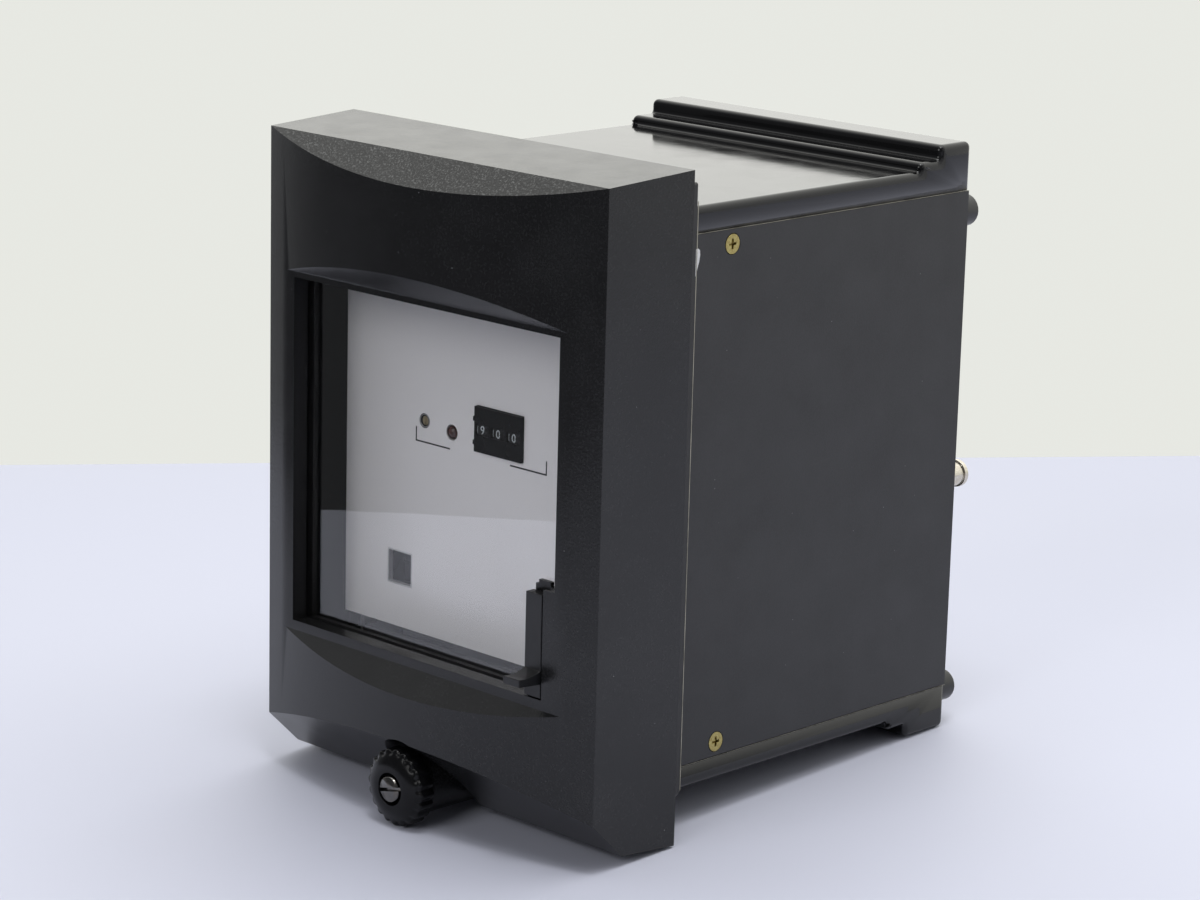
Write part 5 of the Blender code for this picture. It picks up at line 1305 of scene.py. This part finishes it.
@dataclass
class BoardSet:
    """What the two boards carry, and the wires between them, the front plate and the contact block."""

    face_x: float = 55.1
    lift: float = 0.05
    chip_half: Pair = (10.0, 3.75)
    chip_height: float = 3.5
    chip_cover: Pair = (0.12, 0.15)
    chip_y: tuple[float, ...] = (88.0, 130.0)
    chip_z: tuple[float, ...] = (84.4, 110.8, 137.2, 163.6)
    pin_pitch: float = 2.54
    pin_height: float = 2.1
    pin_half: Pair = (0.3, 0.4)
    resistor_y: tuple[float, ...] = (103.5, 109.0, 114.5, 148.0)
    resistor_z: tuple[float, ...] = (72.0, 97.6, 124.0, 150.4, 177.0)
    lead_height: float = 1.6
    lead_radius: float = 0.3
    capacitor_y: float = 85.0
    capacitor_z: tuple[float, ...] = (90.0, 125.0)
    capacitor_end: float = -26.8
    film_size: Point = (9.0, 6.0, 13.0)
    film_y: float = 58.0
    film_z: tuple[float, ...] = (68.0, 92.0, 116.0, 176.0)
    sink_x: Pair = (-55.0, -38.0)
    sink_y: Pair = (54.0, 73.0)
    sink_z: Pair = (96.0, 141.0)
    sink_base: float = 2.2
    fins: int = 7
    fin_foot: float = 2.0
    fin_width: float = 1.2
    contact_y: float = 60.0
    contact_z: float = 47.0
    contacts: int = 10
    contact_pitch: float = 11.0
    contact_half: Pair = (1.0, 0.4)
    contact_reach: Pair = (-0.5, 6.5)
    wire_radius: float = 0.8

    def make(self) -> None:
        """Builds and dresses the set."""
        self.add("chip_covers", self.chips(), Look.CHIP, "relay_black")
        self.add("chip_pins", self.pins(), Look.TIN, "cradle_zinc")
        self.add("resistor_bodies", gathered(self.resistors()), Look.RESISTOR, "contact_phenolic")
        self.add("resistor_leads", gathered(self.leads()), Look.TIN, "cradle_zinc")
        self.add("film_capacitors", self.film_capacitors(), Look.POT, "pot_blue")
        self.add("capacitor_ends", gathered(self.capacitor_ends()), Look.TIN, "cradle_zinc")
        self.add("heat_sink", self.heat_sink(), Look.ZINC, "cradle_zinc")
        self.add("contact_pins", self.contact_pins(), Look.NICKEL, "terminal_nickel")
        for name, look, first in (("wires_white", Look.WIRE_WHITE, 0), ("wires_red", Look.WIRE_RED, 1)):
            strands = gathered(tube(path, self.wire_radius) for path in self.wires()[first::2])
            self.add(name, strands, look, "rail_nylon")

    def add(self, name: str, shape: Shape, look: Look, slot: str) -> None:
        """Makes a piece that rides on the chassis."""
        add_piece(name, shape, Body.CHASSIS, look)

    def grid(self) -> np.ndarray:
        """The chips' middles as rows of (y, z)."""
        return np.stack(np.meshgrid(self.chip_y, self.chip_z), axis=-1).reshape(-1, 2)

    def chips(self) -> Shape:
        """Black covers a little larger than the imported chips, one box to a chip.

        Returns:
            Points in metres and faces.
        """
        y, z = self.grid().T
        beside, above = self.chip_cover
        half_y, half_z = np.array(self.chip_half) + beside
        x = (self.face_x - self.chip_height - above, self.face_x - self.lift)
        return boxes(x, (y - half_y, y + half_y), (z - half_z, z + half_z))

    def pins(self) -> Shape:
        """Seven pins along each side of each chip, a pitch apart, as boxes down to the board.

        Returns:
            Points in metres and faces.
        """
        row = np.arange(-3, 4) * self.pin_pitch
        edges = np.array([-1.0, 1.0]) * (self.chip_half[1] + 0.45)
        middle = self.grid()[:, None, None] + np.stack(np.meshgrid(row, edges, indexing="ij"), axis=-1)
        y, z = middle.reshape(-1, 2).T
        half_y, half_z = self.pin_half
        x = (self.face_x - self.pin_height, self.face_x - self.lift)
        return boxes(x, (y - half_y, y + half_y), (z - half_z, z + half_z))

    def resistor_places(self) -> list[Pair]:
        """The resistors' middles as (y, z)."""
        return [(y, z) for y in self.resistor_y for z in self.resistor_z]

    def resistors(self) -> list[Shape]:
        """Turned bodies with thicker ends, upright on the logic board.

        Returns:
            A pair of points and faces for each.
        """
        half = [(-3.2, 0.5), (-3.1, 1.0), (-2.7, 1.25), (-2.1, 1.2), (-1.8, 1.05)]
        profile = half + [(-along, radius) for along, radius in half[::-1]]
        x = self.face_x - self.lead_height
        return [turned(profile, Axis.Z, (x, y, z), 14) for y, z in self.resistor_places()]

    def leads(self) -> list[Shape]:
        """Wires bent from the board through each body and back.

        Returns:
            A pair of points and faces for each.
        """
        top = self.lead_height
        out = np.array([0.0, 0.1 - top, -top, -top, 0.1 - top, 0.0]) + self.face_x
        rise = np.array([-5.3, -5.0, -3.4, 3.4, 5.0, 5.3])
        paths = [np.column_stack([out, np.full(6, y), z + rise]) for y, z in self.resistor_places()]
        return [tube(path, self.lead_radius, 6) for path in paths]

    def film_capacitors(self) -> Shape:
        """Boxed capacitors near the logic board's front edge.

        Returns:
            Points in metres and faces.
        """
        height, width, length = self.film_size
        x = (self.face_x - height, self.face_x - self.lift)
        z = np.array(self.film_z)
        return boxes(x, (self.film_y, self.film_y + width), (z, z + length))

    def capacitor_ends(self) -> list[Shape]:
        """Bare can ends with a rolled rim."""
        profile = [(-0.1, 8.8), (0.15, 8.8), (0.2, 8.2), (0.0, 7.6), (0.0, 0.4)]
        return [turned(profile, Axis.X, (self.capacitor_end, self.capacitor_y, z)) for z in self.capacitor_z]

    def heat_sink(self) -> Shape:
        """A base on the power board with fins that stand out from it at even steps.

        Returns:
            Points in metres and faces.
        """
        (x, tip), (y, back) = self.sink_x, self.sink_y
        fins = y + (back - y - self.fin_width) / (self.fins - 1) * np.arange(self.fins)
        base = boxes((x, x + self.sink_base), self.sink_y, self.sink_z)
        return gathered([base, boxes((x + self.fin_foot, tip), (fins, fins + self.fin_width), self.sink_z)])

    def contact_places(self) -> np.ndarray:
        """The contact pins' places across the block."""
        return (np.arange(self.contacts) - (self.contacts - 1) / 2) * self.contact_pitch

    def contact_pins(self) -> Shape:
        """Solder pins behind the chassis contact block.

        Returns:
            Points in metres and faces.
        """
        x, z = self.contact_places(), self.contact_z
        half_x, half_z = self.contact_half
        front, back = (self.contact_y + reach for reach in self.contact_reach)
        return boxes((x - half_x, x + half_x), (front, back), (z - half_z, z + half_z))

    def wires(self) -> list[np.ndarray]:
        """The wires' paths, each a smooth curve through a few places.

        They run from the adjuster and the dial switch to the logic board, from the contact block
        to both boards, and from the transformer to the power board.

        Returns:
            Points in millimetres for each wire.
        """
        face, paths = self.face_x - 0.2, []
        for k, x in enumerate((-30.5, -27.0, -15.5, -13.0)):
            start = [(x, 35.5, 133.0), (x + 4, 47.0, 139.0 + k), (20.0, 62.0 + k, 158.0)]
            paths.append(start + [(48.0, 70.0, 162.0 + 2 * k), (face, 72.0, 157.0 + 3 * k)])
        for k in range(6):
            x = 1.0 + 3.5 * k
            start = [(x, 43.5, 131.0), (x + 2, 52.0, 129.0 - k), (34.0, 60.0, 134.0 + 2 * k)]
            paths.append(start + [(48.0, 70.0, 138.0 + 2 * k), (face, 72.5, 136.0 + 2.4 * k)])
        for k, x in enumerate(self.contact_places()):
            side = -1.0 if x < 0 else 1.0
            y = 74.0 + 3.0 * (k % 5)
            start = [(x, 65.5, 47.0), (x + side * 2, y - 4, 48.5), (side * 47.0, y, 51.0)]
            paths.append(start + [(side * 54.0, y + 2, 56.0), (side * face, y + 2, 60.5)])
        for k in range(4):
            start = [(-8.0 - 2 * k, 149.0, 141.0), (-22.0, 145.0, 131.0 - k)]
            paths.append(start + [(-46.0, 148.0, 122.0 - 2 * k), (-face, 150.0, 118.0 - 4 * k)])
        return [curve_through(path, 22) for path in paths]


@dataclass(frozen=True)
class Lamp:
    """A square soft lamp, in metres and watts, that faces the relay."""

    name: str
    place: Point
    size: float
    power: float
    aim: Point = (0.0, 0.0, 0.1)

    def make(self) -> None:
        """Adds the lamp."""
        data = bpy.data.lights.new(self.name, "AREA")
        data.size = self.size
        data.energy = self.power
        made = bpy.data.objects.new(self.name, data)
        bpy.context.scene.collection.objects.link(made)
        back = np.array(self.place) - np.array(self.aim)
        back /= np.linalg.norm(back)
        right = np.cross([0.0, 1.0, 0.01], back)
        right /= np.linalg.norm(right)
        made.matrix_world = pose(right, np.cross(back, right), back, self.place)


@dataclass
class Studio:
    """The floor, the light and the camera."""

    floor_slope: float = 0.0393
    floor_pivot_y: float = 57.4
    floor_gap: float = 0.05
    floor_colour: Colour = (0.672, 0.69, 0.81)
    far_edge: float = 470.0
    left_edge: float = -460.0
    right_edge: float = 1100.0
    near_edge: float = -1400.0
    view_side: Pair = (0.7, 0.714)
    backdrop: Colour = (0.8, 0.81, 0.765)
    room_back: Point = (-0.35, 0.9, 0.3)
    room_span: Pair = (-0.12, 0.92)
    room_levels: Pair = (0.12, 1.5)
    room_dim: Colour = (0.95, 0.97, 1.02)
    room_bright: Colour = (1.0, 1.0, 0.955)
    camera_place: Point = (0.880413, -0.922253, 0.428994)
    camera_azimuth: float = 0.7693586
    camera_elevation: float = 0.2391315
    camera_roll: float = 0.0258115
    camera_lens: float = 107.674
    lamps: tuple[Lamp, ...] = (
        Lamp("overhead_soft", (0.15, 0.1, 1.7), 1.7, 11.5),
        Lamp("ceiling_small", (0.3, -0.25, 1.8), 0.32, 5.0),
        Lamp("front_fill", (0.1, -1.6, 1.0), 0.9, 6.2),
        Lamp("right_soft", (1.9, 0.5, 0.9), 1.4, 2.0),
    )

    def make(self) -> None:
        """Builds floor, world, lamps and camera."""
        self.floor()
        self.world()
        for lamp in self.lamps:
            lamp.make()
        self.camera()
        bpy.context.scene.view_settings.view_transform = "Standard"

    def floor(self) -> None:
        """The flat sheet that the relay stands on, at the slope that its feet give it.

        Its corners are a along one side and b along the other, and their height is the
        slope times the depth behind the line that the cover's bottom edge rests on.
        """
        side = np.array(self.view_side) / np.hypot(*self.view_side)
        back = np.array([-side[1], side[0]])
        a = np.array([self.left_edge, self.right_edge, self.right_edge, self.left_edge])
        b = np.array([self.near_edge, self.near_edge, self.far_edge, self.far_edge])
        flat = a[:, None] * side + b[:, None] * back
        height = self.floor_slope * (flat[:, 1] - self.floor_pivot_y) - self.floor_gap
        graph = Graph("floor_pale")
        cloud = graph.noise(160.0, 3.0)
        colour = graph.blend(graph.span(cloud, 0.3, 0.7), tinted(self.floor_colour, 0.985), self.floor_colour)
        rough = graph.span(cloud, 0.3, 0.7, 0.55, 0.65)
        normal = graph.relief(graph.noise(0.8, 2.0), 0.01)
        paint = graph.shaded(colour, rough, normal, {"Specular IOR Level": 0.25})
        made = build("floor", (placed(np.column_stack([flat, height])), [[0, 1, 2, 3]]))
        made.data.materials.append(paint)

    def world(self) -> None:
        """White to the eye; to the pieces a room that is bright behind and dim towards the camera."""
        world = bpy.data.worlds.new("studio")
        bpy.context.scene.world = world
        world.use_nodes = True
        world.node_tree.nodes.clear()
        graph = Nodes(world.node_tree)
        where = graph.node("ShaderNodeTexCoord").outputs["Generated"]
        facing = graph.node("ShaderNodeVectorMath", {0: where, 1: self.room_back}, operation="DOT_PRODUCT")
        towards = facing.outputs["Value"]
        level = graph.span(towards, *self.room_span, *self.room_levels, interpolation_type="SMOOTHSTEP")
        tone = graph.blend(graph.span(level, 0.2, 1.1), self.room_dim, self.room_bright)
        room = graph.node("ShaderNodeBackground", {"Color": tone, "Strength": level}).outputs["Background"]
        seen = graph.node("ShaderNodeBackground", {"Color": self.backdrop}).outputs["Background"]
        camera = graph.node("ShaderNodeLightPath").outputs["Is Camera Ray"]
        mix = graph.node("ShaderNodeMixShader", {0: camera, 1: room, 2: seen}).outputs["Shader"]
        graph.node("ShaderNodeOutputWorld", {"Surface": mix})

    def camera(self) -> None:
        """The camera, turned by azimuth, elevation and roll."""
        azimuth, elevation, roll = self.camera_azimuth, self.camera_elevation, self.camera_roll
        level = math.cos(elevation)
        back = np.array([math.sin(azimuth) * level, -math.cos(azimuth) * level, math.sin(elevation)])
        right = np.cross(-back, [0.0, 0.0, 1.0])
        right /= np.linalg.norm(right)
        upward = np.cross(back, right)
        turned_right = math.cos(roll) * right + math.sin(roll) * upward
        turned_up = math.cos(roll) * upward - math.sin(roll) * right
        data = bpy.data.cameras.new("camera")
        data.lens = self.camera_lens
        data.sensor_width = 36.0
        made = bpy.data.objects.new("camera", data)
        bpy.context.scene.collection.objects.link(made)
        made.matrix_world = pose(turned_right, turned_up, back, self.camera_place)
        bpy.context.scene.camera = made


def pose(right: np.ndarray, upward: np.ndarray, back: np.ndarray, place: Point) -> Matrix:
    """A matrix from three directions and a place.

    Args:
        right: The object's x direction.
        upward: Its y direction.
        back: Its z direction.
        place: Its place in metres.

    Returns:
        The matrix.
    """
    full = np.eye(4)
    full[:3, 0], full[:3, 1], full[:3, 2], full[:3, 3] = right, upward, back, place
    return Matrix(full.tolist())


def main() -> None:
    """Builds the classes in order."""
    logging.basicConfig(level=logging.INFO, format="%(message)s")
    for part in (CoverSet(), CaseSet(), ChassisSet(), BoardSet(), Studio()):
        before = set(bpy.data.objects)
        part.make()
        for piece in sorted(set(bpy.data.objects) - before, key=lambda item: item.name):
            log.info("%s: %s", type(part).__name__, piece.name)


if __name__ == "__main__":
    main()
